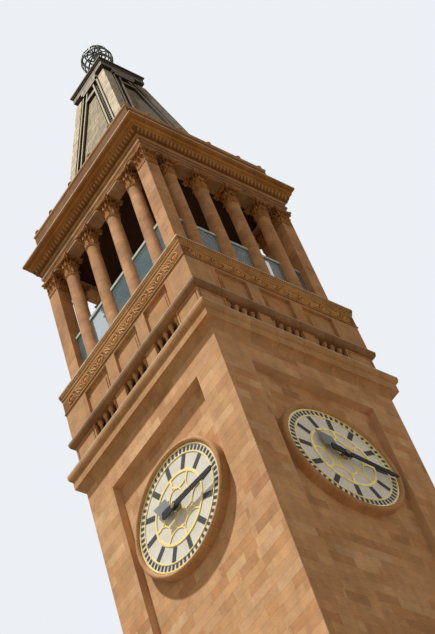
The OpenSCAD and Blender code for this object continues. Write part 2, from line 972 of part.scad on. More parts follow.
// Cap: neck in the dark gap, stepped middle blocks, flat band, hollow moulding and top edge
module spire_cap() {
    block_half = [57, 68];
    step_z = z_spire_top + 0.36 * cap_gap;
    band_half = cap_half - 8;
    cove_half = band_half - 7;
    neck_half = spire_head - slot_d;
    z_cove = z_cap + cap_band_h;
    z_edge = z_cove + cap_cove_h;
    flare = cap_half - 3 - cove_half;
    color(cream_stone) {
        square_block(concat(
            [[neck_half, z_spire_top], [neck_half, z_cap], [band_half, z_cap], [band_half, z_cove]],
            [for (i = [0:4])
                [cove_half + flare * (1 - cos(22.5 * i)), z_cove + 2 + (cap_cove_h - 3) * sin(22.5 * i)]],
            [[cap_half, z_edge], [cap_half, z_cap_top]]
        ));
        for (turn = [0, 90])
            rotate([0, 0, turn]) {
                translate([-block_half[0], -band_half, z_spire_top])
                    cube([2 * block_half[0], 2 * band_half, cap_gap + 1]);
                translate([-block_half[1], -band_half, step_z])
                    cube([2 * block_half[1], 2 * band_half, z_cap + 1 - step_z]);
            }
    }
}

module globe_stem() {
    foot_h = 24;
    color(dark_metal)
        translate([0, 0, z_cap_top])
            rotate_extrude($fn = 32)
                polygon([
                    [0, 0], [34, 0], [34, 6], [20, foot_h], [stem_r, foot_h + 10],
                    [stem_r, globe_rise + globe_r], [0, globe_rise + globe_r]
                ]);
}

// One hoop of the globe round the Z axis, in straight bars from node to node
module hoop(r, sides = 16) {
    node_t = 0.5;
    for (i = [0:sides - 1])
        hull()
            for (k = [i, i + 1])
                rotate([0, 0, 360 * k / sides])
                    translate([r - wire_t, -node_t / 2, -wire_t / 2])
                        cube([wire_t, node_t, wire_t]);
}

module wire_globe() {
    meridians = 6;
    parallels = [-60, -30, 0, 30, 60];
    color(dark_metal)
        translate([0, 0, z_globe])
            difference() {
                union() {
                    for (i = [0:meridians - 1])
                        rotate([90, 0, 180 * i / meridians])
                            hoop(globe_r);
                    for (latitude = parallels)
                        translate([0, 0, globe_r * sin(latitude)])
                            hoop(globe_r * cos(latitude));
                }
                cylinder(r = stem_r + seat, h = 4 * globe_r, center = true, $fn = 32);
            }
}

module globe_spike() {
    color("white")
        translate([0, 0, z_globe + globe_r])
            cylinder(r1 = 7, r2 = 1.2, h = spike_h, $fn = 24);
}

// Places a piece on one dial: x right, y up, z outwards from the wall panel
module on_dial(side) {
    rotate([0, 0, 90 * side])
        translate([0, -panel_face, z_dial])
            rotate([90, 0, 0])
                children();
}

module each_dial() {
    for (side = [0:3])
        on_dial(side)
            children();
}

module clock_drums() {
    bead = drum_edge / 2;
    color(orange_stone)
        each_dial()
            rotate_extrude($fn = 96)
                polygon(concat(
                    [[0, 0], [drum_r, 0]],
                    arc([drum_r - bead, drum_h], bead, 0, 180, 8),
                    [[dial_r, dial_face - dial_t], [0, dial_face - dial_t]]
                ));
}

module clock_dials() {
    color("ivory")
        each_dial()
            translate([0, 0, dial_face - dial_t])
                cylinder(r = dial_r - seat, h = dial_t, $fn = 96);
}

// Minute blocks and hour batons
module dial_marks() {
    mark_t = 1.5;
    minute_w = 11;
    gap = 3;
    baton_in_r = inner_ring_r + tracery_w + baton_gap;
    color(dark_slot)
        each_dial()
            translate([0, 0, dial_face]) {
                for (minute = [0:59])
                    rotate([0, 0, 6 * minute])
                        translate([track_r + gap, -minute_w / 2, 0])
                            cube([track_out_r - track_r - gap, minute_w, mark_t]);
                for (hour = [0:11])
                    rotate([0, 0, 30 * hour])
                        translate([baton_in_r, -baton_w / 2, 0])
                            cube([track_r - track_bar - gap - baton_in_r, baton_w, mark_t]);
            }
}

// A flat ring on the dial between two radii
module dial_ring(inner, outer) {
    difference() {
        cylinder(r = outer, h = tracery_t, $fn = 96);
        translate([0, 0, -1])
            cylinder(r = inner, h = tracery_t + 2, $fn = 96);
    }
}

// Four circles round the middle, eight arcs outside them and four spokes, all inside the ring
module dial_rose() {
    half_bar = tracery_w / 2;
    lobe_c = lobe_r + 12;
    arc_c = [lobe_c, inner_ring_r - 15];
    arc_r = norm([arc_c[0], arc_c[1] - lobe_c]) - lobe_r + 1;
    spoke_r = lobe_c + lobe_r + 16;
    intersection() {
        cylinder(r = inner_ring_r, h = tracery_t, $fn = 96);
        union()
            for (side = [0:3])
                rotate([0, 0, 90 * side]) {
                    translate([0, lobe_c, 0])
                        dial_ring(lobe_r - half_bar, lobe_r + half_bar);
                    for (s = [-1, 1])
                        translate([s * arc_c[0], arc_c[1], 0])
                            dial_ring(arc_r - half_bar, arc_r + half_bar);
                    translate([-half_bar, spoke_r, 0])
                        cube([tracery_w, inner_ring_r - spoke_r, tracery_t]);
                }
    }
}

// Gilt rings and the rose in the middle of each dial
module dial_tracery() {
    color(gold)
        each_dial()
            translate([0, 0, dial_face]) {
                dial_ring(track_out_r + 3, track_out_r + 3 + tracery_w);
                dial_ring(track_r - track_bar, track_r);
                difference() {
                    union() {
                        dial_ring(inner_ring_r - tracery_w, inner_ring_r + tracery_w);
                        dial_rose();
                        cylinder(r = hub_r, h = tracery_t, $fn = 48);
                    }
                    translate([0, 0, -1])
                        cylinder(r = axle_r + seat, h = tracery_t + 2, $fn = 48);
                }
            }
}

// Fixed axle with a conical boss behind the hands and a cap in front
module clock_axles() {
    boss_h = hour_z - dial_face - tracery_t - axle_play;
    cap_h = 4;
    color(dark_metal)
        each_dial()
            translate([0, 0, dial_face]) {
                cylinder(r = axle_r, h = axle_end - dial_face + cap_h, $fn = 48);
                translate([0, 0, tracery_t])
                    cylinder(r1 = hub_r, r2 = 2 * axle_r, h = boss_h, $fn = 48);
                translate([0, 0, axle_end - dial_face])
                    cylinder(r = 1.8 * axle_r, h = cap_h, $fn = 48);
            }
}

// Minute hand pointing along +Y, on its hub, with a long broad tail that balances it
module minute_hand() {
    tail = 70;
    tail_half = 17;
    tail_cut = 4;
    neck_end = 28;
    tip_half = 0.7 * minute_half_w;
    tip_h = 10;
    difference() {
        union() {
            translate([0, 0, minute_z])
                linear_extrude(height = hand_t)
                    polygon(concat([[0, minute_len]], both_sides([
                        [-tip_half, minute_len - tip_h], [-minute_half_w, 0],
                        [-minute_half_w, -neck_end / 2], [-tail_half, -neck_end],
                        [-tail_half, tail_cut - tail], [tail_cut - tail_half, -tail]
                    ])));
            translate([0, 0, hour_z + hand_t + axle_play])
                cylinder(r = hub_r, h = minute_z - hour_z - axle_play, $fn = 48);
        }
        translate([0, 0, hour_z])
            cylinder(r = axle_r + axle_play, h = 4 * hand_t + hand_gap, $fn = 48);
    }
}

// Hour hand pointing along +Y, with a broad pointed head
module hour_hand() {
    arm_half = 11;
    tail = 26;
    head_h = 65;
    neck_h = 98;
    difference() {
        union() {
            translate([0, 0, hour_z])
                linear_extrude(height = hand_t)
                    polygon([
                        [-arm_half, -tail], [arm_half, -tail], [arm_half, hour_len - neck_h],
                        [hour_half_w, hour_len - head_h], [0, hour_len],
                        [-hour_half_w, hour_len - head_h], [-arm_half, hour_len - neck_h]
                    ]);
            translate([0, 0, hour_z])
                cylinder(r = hub_r, h = hand_t, $fn = 48);
        }
        translate([0, 0, hour_z - 1])
            cylinder(r = axle_r + axle_play, h = hand_t + 2, $fn = 48);
    }
}

module minute_hand_on(side) {
    color(dark_metal)
        on_dial(side)
            rotate([0, 0, -minute_angle])
                minute_hand();
}

module hour_hand_on(side) {
    color(dark_metal)
        on_dial(side)
            rotate([0, 0, -hour_angle])
                hour_hand();
}

ground_slab();
plinth_course();
corner_piers();
wall_panels();
wall_head();
door_frame();
door_leaf();
lower_cornice();
gallery_wall();
balusters();
gallery_rail();
dado_wall();
dado_tablets();
frieze_rail();
belfry_floor();
belfry_posts();
post_capitals();
columns();
column_capitals();
glass_screens();
screen_rails();
architrave();
belfry_ceiling();
main_cornice();
roof_slab();
parapet();
parapet_bosses();
spire_shell();
spire_piers();
spire_ribs();
spire_louvres();
spire_cap();
globe_stem();
wire_globe();
globe_spike();
clock_drums();
clock_dials();
dial_marks();
dial_tracery();
clock_axles();
minute_hand_on(0);  // minute_hand_front
minute_hand_on(1);  // minute_hand_right
minute_hand_on(2);  // minute_hand_back
minute_hand_on(3);  // minute_hand_left
hour_hand_on(0);  // hour_hand_front
hour_hand_on(1);  // hour_hand_right
hour_hand_on(2);  // hour_hand_back
hour_hand_on(3);  // hour_hand_left
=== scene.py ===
"""Dresses the frame of a stone clock tower with masonry, metal, enamel and glass.

The tower is a model at one tenth of its real size, so a metre here is ten real metres.
Its front is the -Y side, and all four sides are alike apart from the doorway.
"""

import functools
import math

import bpy
from mathutils import Matrix, Vector


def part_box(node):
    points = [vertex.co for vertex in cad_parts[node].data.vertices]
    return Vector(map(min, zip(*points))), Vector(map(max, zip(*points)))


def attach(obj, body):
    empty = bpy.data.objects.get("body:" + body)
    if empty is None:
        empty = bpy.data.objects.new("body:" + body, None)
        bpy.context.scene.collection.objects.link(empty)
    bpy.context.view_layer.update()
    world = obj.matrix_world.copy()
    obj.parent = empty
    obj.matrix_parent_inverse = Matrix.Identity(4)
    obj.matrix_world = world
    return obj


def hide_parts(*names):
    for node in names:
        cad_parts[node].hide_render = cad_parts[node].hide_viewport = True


bl_info = {
    "name": "Stone clock tower",
    "version": (1, 0, 0),
    "blender": (4, 5, 0),
    "location": "View3D > Sidebar > Tower",
    "description": "Dresses the frame of a clock tower with stone, metal and glass",
    "category": "Object",
}

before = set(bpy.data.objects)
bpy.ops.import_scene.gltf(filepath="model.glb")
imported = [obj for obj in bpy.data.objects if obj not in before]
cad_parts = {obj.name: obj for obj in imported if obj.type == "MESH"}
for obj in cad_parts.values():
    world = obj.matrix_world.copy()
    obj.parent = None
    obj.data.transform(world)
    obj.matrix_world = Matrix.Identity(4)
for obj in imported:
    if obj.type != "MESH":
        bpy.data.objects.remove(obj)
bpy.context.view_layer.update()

TOWER = "tower"
SIDES = ("front", "right", "back", "left")
UP = Vector((0, 0, 1))


def low(node):
    """Lowest corner of a CAD node's box."""
    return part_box(node)[0]


def high(node):
    """Highest corner of a CAD node's box."""
    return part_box(node)[1]


# Half widths and heights that the frame gives
SHAFT = high("corner_piers").x
PANEL_FACE = high("wall_panels").x
Z_PLINTH = low("corner_piers").z
Z_RECESS = high("corner_piers").z
Z_CORNICE = low("lower_cornice").z
Z_DIAL = (low("clock_drums").z + high("clock_drums").z) / 2
DRUM_R = (high("clock_drums").z - low("clock_drums").z) / 2
RECESS_HALF = DRUM_R + 0.028
DOOR_HALF = high("door_frame").x
Z_DOOR = high("door_frame").z
Z_BED = low("main_cornice").z
Z_ROOF = high("main_cornice").z
CORNICE = high("main_cornice").x
Z_PARAPET = high("parapet").z
Z_GALLERY = high("lower_cornice").z
Z_DADO = high("gallery_rail").z
BAND_FACE = high("frieze_rail").x - 0.008
Z_BAND = low("frieze_rail").z
Z_BAND_TOP = high("frieze_rail").z
Z_SPIRE = low("spire_piers").z
Z_SPIRE_TOP = high("spire_piers").z
SPIRE_FOOT = high("spire_piers").x
Z_CAPITAL = low("column_capitals").z
CAPITAL_H = high("column_capitals").z - Z_CAPITAL

# Sizes of the frame that no box gives: the spire's grooves and ribs are distances from its corners
SPIRE_HEAD = 0.130
SPIRE_GROOVES = ((0.0517, 0.0623), (0.0705, 0.0975), (0.1057, 0.1203))
SPIRE_RIBS = ((0.0623, 0.0705), (0.0975, 0.1057))
COLUMN_X = (-0.2565, -0.0855, 0.0855, 0.2565)
COLUMN_LINE = 0.370
NECK_R = 0.028
POST_HALF = 0.033
SLAB_HALF = POST_HALF + 0.014
SLAB_CORNER = 1.3 * SLAB_HALF

# Carved scrolls of the band under the belfry
SCROLL_R = 0.0245
SCROLL_END = math.radians(-60)

# Pale lead edges, which also paint the highlight of the sunlit top arris, end this far under the top faces,
# which stay stone
LEAD_HIGHLIGHT_GAP = 0.0008


def srgb(red, green, blue):
    """Linear colour from the three 0 to 255 values that a colour picker shows."""
    def linear(value):
        share = value / 255
        return share / 12.92 if share <= 0.04045 else ((share + 0.055) / 1.055) ** 2.4
    return (linear(red), linear(green), linear(blue), 1.0)


# Node trees

def node_math(operation, swapped=False):
    """A method that adds one math node for a value and another."""
    def method(self, other=0.0):
        pair = (other, self) if swapped else (self, other)
        return self.tree.math(operation, *pair)
    return method


class Value:
    """A socket of a tree, so that sums of nodes read like plain arithmetic."""

    def __init__(self, tree, socket):
        self.tree = tree
        self.socket = socket

    __add__ = node_math("ADD")
    __sub__ = node_math("SUBTRACT")
    __rsub__ = node_math("SUBTRACT", swapped=True)
    __mul__ = node_math("MULTIPLY")
    __truediv__ = node_math("DIVIDE")
    __rtruediv__ = node_math("DIVIDE", swapped=True)
    __mod__ = node_math("FLOORED_MODULO")
    __gt__ = node_math("GREATER_THAN")
    __lt__ = node_math("LESS_THAN")
    __abs__ = node_math("ABSOLUTE")
    least = node_math("MINIMUM")
    most = node_math("MAXIMUM")
    floor = node_math("FLOOR")
    ceil = node_math("CEIL")
    fraction = node_math("FRACT")


class Tree:
    """Adds nodes to a node tree, with their links and values, in one line each."""

    def __init__(self, tree):
        self.tree = tree

    def put(self, socket, value):
        """Links a value to a socket, or sets it. Three numbers for a colour are 0 to 255 values."""
        if isinstance(value, Value):
            self.tree.links.new(value.socket, socket)
        elif socket.type == "RGBA" and len(value) == 3:
            socket.default_value = srgb(*value)
        else:
            socket.default_value = value

    def add(self, kind, values=None, **settings):
        node = self.tree.nodes.new(kind)
        for key, value in settings.items():
            setattr(node, key, value)
        for key, value in (values or {}).items():
            self.put(node.inputs[key], value)
        return node

    def out(self, kind, values=None, output=0, **settings):
        """One output of a new node."""
        return Value(self, self.add(kind, values, **settings).outputs[output])

    def geo(self, kind, values=None, output=0, **settings):
        """One output of a new geometry node."""
        return self.out("GeometryNode" + kind, values, output, **settings)

    def math(self, operation, first, second=0.0):
        return self.out("ShaderNodeMath", {0: first, 1: second}, operation=operation)

    def vector(self, x, y, z):
        return self.out("ShaderNodeCombineXYZ", {0: x, 1: y, 2: z})

    def split(self, vector):
        node = self.add("ShaderNodeSeparateXYZ", {0: vector})
        return [Value(self, socket) for socket in node.outputs]

    def noise(self, vector, scale, detail=3.0, roughness=0.55):
        values = {"Vector": vector, "Scale": scale, "Detail": detail, "Roughness": roughness}
        return self.out("ShaderNodeTexNoise", values)

    def remap(self, value, start, end, to_start=0.0, to_end=1.0):
        return self.out("ShaderNodeMapRange", {0: value, 1: start, 2: end, 3: to_start, 4: to_end})

    def pick(self, factor, first, second):
        """The first number where the factor is 0 and the second where it is 1."""
        return self.out("ShaderNodeMix", {0: factor, 2: first, 3: second}, data_type="FLOAT")

    def mix(self, factor, first, second, blend="MIX"):
        values = {0: factor, 6: first, 7: second}
        return self.out("ShaderNodeMix", values, output=2, data_type="RGBA", blend_type=blend)

    def ramp(self, factor, stops):
        """Colours by position along the factor."""
        node = self.add("ShaderNodeValToRGB", {0: factor})
        elements = node.color_ramp.elements
        elements.remove(elements[1])
        for index, (position, color) in enumerate(stops):
            element = elements.new(position) if index else elements[0]
            element.position = position
            element.color = srgb(*color)
        return Value(self, node.outputs[0])

    def layer(self, height, start, end):
        """1 between two heights and 0 outside them."""
        blur = 0.0006
        above = self.remap(height, start - blur, start + blur)
        return above * self.remap(height, end - blur, end + blur, 1.0, 0.0)

    def seen(self):
        """1 where the camera sees the surface, itself or in metal or glass."""
        path = self.add("ShaderNodeLightPath").outputs
        rays = ("Camera", "Glossy", "Transmission")
        camera, glossy, through = (Value(self, path[f"Is {ray} Ray"]) for ray in rays)
        return camera.most(glossy.most(through))


class Finish(Tree):
    """A new material's tree, with the place on the object that its patterns follow."""

    def __init__(self, name):
        self.material = bpy.data.materials.new(name)
        self.material.use_nodes = True
        super().__init__(self.material.node_tree)
        self.sockets = self.tree.nodes["Principled BSDF"].inputs
        self.place = self.out("ShaderNodeTexCoord", output="Object")

    def dress(self, values):
        """Links or sets the shader's sockets."""
        for name, value in values.items():
            self.put(self.sockets[name], value)

    def cover(self, factor, color):
        """Lays a colour over the colour so far."""
        base = self.sockets["Base Color"]
        self.put(base, self.mix(factor, Value(self, base.links[0].from_socket), color))

    def bump(self, height, distance, strength=0.6):
        values = {"Height": height, "Distance": distance, "Strength": strength}
        self.put(self.sockets["Normal"], self.out("ShaderNodeBump", values))

    def stretched(self, across, upright):
        """The place, scaled so that a pattern is long in the upright direction."""
        return self.out("ShaderNodeMapping", {"Vector": self.place, "Scale": (across, across, upright)})

    def normal(self):
        return self.split(self.out("ShaderNodeNewGeometry", output="True Normal"))


# Finishes

def joint_shade(near, joint, darkest=1.0):
    """Darkness of a joint by the distance from its middle."""
    return near.tree.remap(near, joint * 0.6, joint * 1.6, darkest, 0.0)


def nearest_edge(place, size):
    """Distance to the nearer edge of a cell, where place counts cells."""
    share = place.fraction()
    return share.least(1.0 - share) * size


def block_pattern(made, length, course, joint):
    """Random value of each block and the darkness of the joints between blocks."""
    side_shift = 31.0
    x, y, z = made.split(made.place)
    normal = made.normal()
    sideways = abs(normal[0]) > abs(normal[1])
    row_place = z / course
    row = row_place.floor()
    column_place = made.pick(sideways, x, y) / length + row % 2.0 * 0.5
    cell = made.vector(column_place.floor(), row, sideways * side_shift)
    tone = made.out("ShaderNodeTexWhiteNoise", {"Vector": cell}, noise_dimensions="3D")
    near = nearest_edge(row_place, course).least(nearest_edge(column_place, length))
    return tone, joint_shade(near, joint)


def bedding(made, tone):
    """Fine streaks along the beds of the stone, slightly tilted and shifted from block to block."""
    across = 34.0
    upright = 120.0
    x, y, z = made.split(made.place)
    tilt = (tone - 0.5) * 0.3
    shift = tone * 60.0
    risen = z + (x + y) * tilt
    return made.noise(made.vector(x * across, y * across, risen * upright + shift), 1.0, 4.0)


def stone(name, tones, courses=None, per_stone=False, stain=0.3, joint=0.0007, layers=(), bed=0.06):
    """Sandstone with a tone for each block, cloudy stains, fine grain and dark joints.

    Each of the layers is (low, high, colour, share): a height range with a stain, a cap, painted shade or a
    painted highlight.
    """
    made = Finish(name)
    joints = 0.0
    if per_stone:
        tone = made.out("ShaderNodeAttribute", output="Fac", attribute_name="tone")
    elif courses:
        tone, joints = block_pattern(made, *courses, joint)
    else:
        tone = made.remap(made.noise(made.place, 5.0, 2.0), 0.3, 0.7)
    step = 1 / (len(tones) - 1)
    color = made.ramp(tone, [(i * step, tone_color) for i, tone_color in enumerate(tones)])
    z = made.split(made.place)[2]
    for start, end, cover, share in layers:
        color = made.mix(made.layer(z, start, end) * share, color, cover)
    cloud = made.noise(made.place, 14.0, 5.0, 0.65)
    fine = made.noise(made.place, 260.0, 4.0, 0.7)
    streak = made.noise(made.stretched(28.0, 3.0), 1.0, 4.0)
    shade = made.remap(cloud, 0.3, 0.7, 1.0 - stain * 0.5, 1.0 + stain * 0.35)
    shade += made.remap(streak, 0.35, 0.65, -0.05, 0.04)
    shade += made.remap(fine, 0.3, 0.7, -0.09, 0.08)
    shade += made.remap(bedding(made, tone), 0.3, 0.7, -bed, bed * 0.8)
    color = made.mix(1.0, color, made.vector(shade, shade, shade), "MULTIPLY")
    if courses:
        dark = made.mix(1.0, color, (0.5, 0.46, 0.42, 1.0), "MULTIPLY")
        color = made.mix(joints * 0.8, color, dark)
    made.dress({"Base Color": color, "Specular IOR Level": 0.2,
                "Roughness": made.remap(fine, 0.3, 0.7, 0.82, 0.96)})
    made.bump(fine + cloud * 0.6 - joints, 0.0012, 0.5)
    return made


def metal(name, color, wear, roughness, metallic=0.0, blotch=40.0, shine=0.5):
    """Metal or painted metal with a duller, worn share."""
    made = Finish(name)
    cloud = made.noise(made.place, blotch, 5.0, 0.65)
    made.dress({
        "Base Color": made.mix(made.remap(cloud, 0.45, 0.7), color, wear),
        "Roughness": made.remap(cloud, 0.3, 0.7, roughness, roughness + 0.2),
        "Metallic": metallic,
        "Specular IOR Level": shine,
    })
    made.bump(made.noise(made.place, 400.0, 3.0), 0.0004, 0.4)
    return made


def right_shaded(made, color, share):
    """Paints shade on the right side of the tower, where X is larger than Y either way."""
    x, y, _ = made.split(made.place)
    made.cover((x > abs(y)) * share, color)
    return made


def right_shaded_stone(name, color, share, **details):
    """Stone with painted shade on the right side of the tower."""
    return right_shaded(stone(name, **details), color, share)


def spire_depths(made):
    """Depth of a point behind the spire's leaning faces, and its distance from their corner."""
    x, y, z = made.split(made.place)
    lean = (SPIRE_FOOT - SPIRE_HEAD) / (Z_SPIRE_TOP - Z_SPIRE)
    half = SPIRE_FOOT - (z - Z_SPIRE) * lean
    return half - abs(x).most(abs(y)), half - abs(x).least(abs(y))


def spire_stone(name, tones):
    """Cream facing in large blocks, with painted shade in the grooves, recesses, cove, soffits and right
    side, and painted highlights on the ribs.
    """
    groove_depth = (0.0035, 0.007)
    panel_depth = (0.020, 0.026)
    neck_top = Z_SPIRE_TOP + 0.045
    band_top = neck_top + 0.028
    rim = high("spire_cap").z - 0.012
    made = stone(name, tones, courses=(0.072, 0.045), stain=0.5, joint=0.0025, layers=(
        (Z_SPIRE_TOP + 0.001, Z_SPIRE_TOP + 0.006, (222, 216, 198), 0.9),
        (Z_SPIRE_TOP + 0.006, neck_top, (190, 184, 168), 0.9),
        (neck_top, band_top, (172, 165, 148), 0.85),
        # Painted shade in the cove under the cap's rim
        (band_top, rim, (36, 31, 26), 0.9),
        (rim, rim + 0.022, (176, 169, 154), 0.85),
    ))
    depth, from_corner = spire_depths(made)
    under_cap = made.split(made.place)[2] < Z_SPIRE_TOP

    def strips(edges):
        """1 in the strips that run up the faces between these distances from a corner."""
        inside = 0.0
        for start, end in edges:
            inside = made.layer(from_corner, start, end).most(inside)
        return inside

    # Painted shade: black in the deep grooves and recesses under the cap top, and dark on faces that look
    # down
    painted_shade = strips(SPIRE_GROOVES) * made.remap(depth, *groove_depth)
    painted_shade = painted_shade.most(made.remap(depth, *panel_depth)) * under_cap
    painted_shade = painted_shade.most(made.remap(made.normal()[2], -0.95, -0.6, 0.9, 0.0))
    # Painted highlight on the raised ribs
    made.cover(strips(SPIRE_RIBS) * under_cap * 0.7, (212, 202, 174))
    # Painted shade on the right side of the spire
    right_shaded(made, (62, 57, 47), 0.62)
    made.cover(painted_shade, (20, 16, 13))
    return made


def spire_grille(name):
    """Pale bars, with painted black shade on their sides and on the backs behind them."""
    bar_depth = (0.0155, 0.0175)
    made = Finish(name)
    depth, _ = spire_depths(made)
    cloud = made.noise(made.place, 30.0, 4.0)
    pale = made.ramp(cloud, [(0.3, (108, 97, 77)), (0.7, (146, 133, 108))])
    made.dress({"Base Color": pale, "Roughness": 0.9})
    # Painted shade: black on the bar sides and on the backs behind the bars
    made.cover(made.remap(depth, *bar_depth), (16, 13, 11))
    made.bump(cloud, 0.0006)
    return made


def gallery_stone(name, **details):
    """Dressed stone, with painted shade at the back of the niches."""
    niche_depth = (0.010, 0.026)
    made = stone(name, **details)
    x, y, _ = made.split(made.place)
    depth = SHAFT - abs(x).most(abs(y))
    # Painted shade at the back of the niches
    made.cover(made.remap(depth, *niche_depth, 0.0, 0.9), (84, 50, 24))
    return made


def carved_stone(name, **details):
    """Stone cut in fine lobes, with painted shade in the hollows between them."""
    made = stone(name, **details)
    lobes = made.noise(made.place, 170.0, 3.0, 0.6)
    # Painted shade in the hollows between the lobes
    made.cover(made.remap(lobes, 0.38, 0.52, 0.8, 0.0), (104, 62, 24))
    return made


def drum_stone(name, wedges, joint=0.0007, **details):
    """Stone in wedges round a dial."""
    made = stone(name, **details)
    x, y, z = made.split(made.place)
    turn = made.math("ARCTAN2", z - Z_DIAL, made.pick(abs(x) > abs(y), x, y))
    near = nearest_edge(turn * (wedges / (2 * math.pi)), 2 * math.pi * DRUM_R / wedges)
    made.cover(joint_shade(near, joint, 0.6), (120, 84, 52))
    return made


def dial_glass(name):
    """Milky glass with a little dirt."""
    made = Finish(name)
    cloud = made.noise(made.place, 16.0, 4.0)
    milky = made.ramp(cloud, [(0.3, (220, 216, 198)), (0.55, (232, 228, 211)), (0.8, (240, 237, 222))])
    made.dress({"Base Color": milky, "Roughness": 0.32, "Specular IOR Level": 0.35})
    made.bump(made.noise(made.place, 120.0, 2.0), 0.0003, 0.3)
    return made


def screen_glass(name):
    """Clear sheet glass with a cool tint."""
    made = Finish(name)
    tint = made.ramp(made.noise(made.place, 9.0, 3.0), [(0.3, (96, 128, 136)), (0.7, (128, 158, 162))])
    made.dress({"Base Color": tint, "Roughness": 0.18, "Alpha": 0.34, "Specular IOR Level": 0.6})
    return made


def oak_boards(name):
    """Dark oiled boards with upright grain."""
    made = Finish(name)
    grain = made.noise(made.stretched(160.0, 9.0), 1.0, 5.0, 0.6)
    made.dress({"Base Color": made.ramp(grain, [(0.3, (58, 36, 22)), (0.7, (104, 68, 42))]),
                "Roughness": made.remap(grain, 0.3, 0.7, 0.5, 0.75)})
    made.bump(grain, 0.0006)
    return made


TAN_TONES = ((184, 135, 91), (213, 166, 117), (205, 158, 109), (223, 180, 131), (200, 155, 110),
             (215, 164, 113), (212, 171, 129), (200, 147, 97), (218, 172, 122), (192, 142, 96),
             (209, 161, 113))
PALE_TONES = ((185, 139, 92), (198, 154, 107), (190, 146, 99), (194, 142, 91))
WEATHERED_TONES = ((156, 106, 50), (176, 124, 60), (163, 112, 53), (182, 132, 70))
CARVED_TONES = ((166, 113, 60), (184, 130, 72), (174, 121, 65))
CREAM_TONES = ((150, 136, 110), (178, 164, 135), (164, 150, 122), (188, 174, 144))
PARAPET_TONES = ((116, 73, 28), (134, 88, 38), (124, 80, 32))
COLUMN_TONES = ((186, 138, 92), (204, 156, 110), (193, 145, 99))
# The rail's stone, darkened with painted shade on its face that curves downwards
RAIL_TONES = ((138, 102, 66), (154, 117, 78))
BAND_TONES = ((176, 130, 76), (190, 144, 88))
ARCHITRAVE_TONES = ((184, 145, 104), (200, 162, 120))
# Dark brown painted behind the cornice eggs as the shade in the gaps between them
EGG_GAP_SHADE = (78, 48, 22)
# Pale lead flashing on the top edges, lightened to paint the highlight of the sunlit arris
LEAD_HIGHLIGHT = (206, 198, 176)

# Length and height of the blocks, by the width of the pieces
WALL_BLOCKS = (0.128, 0.4)
CORNICE_BLOCKS = (0.152, 0.5)
PARAPET_BLOCKS = (0.128, 0.045)
COLUMN_DRUMS = (1.6, 0.138)
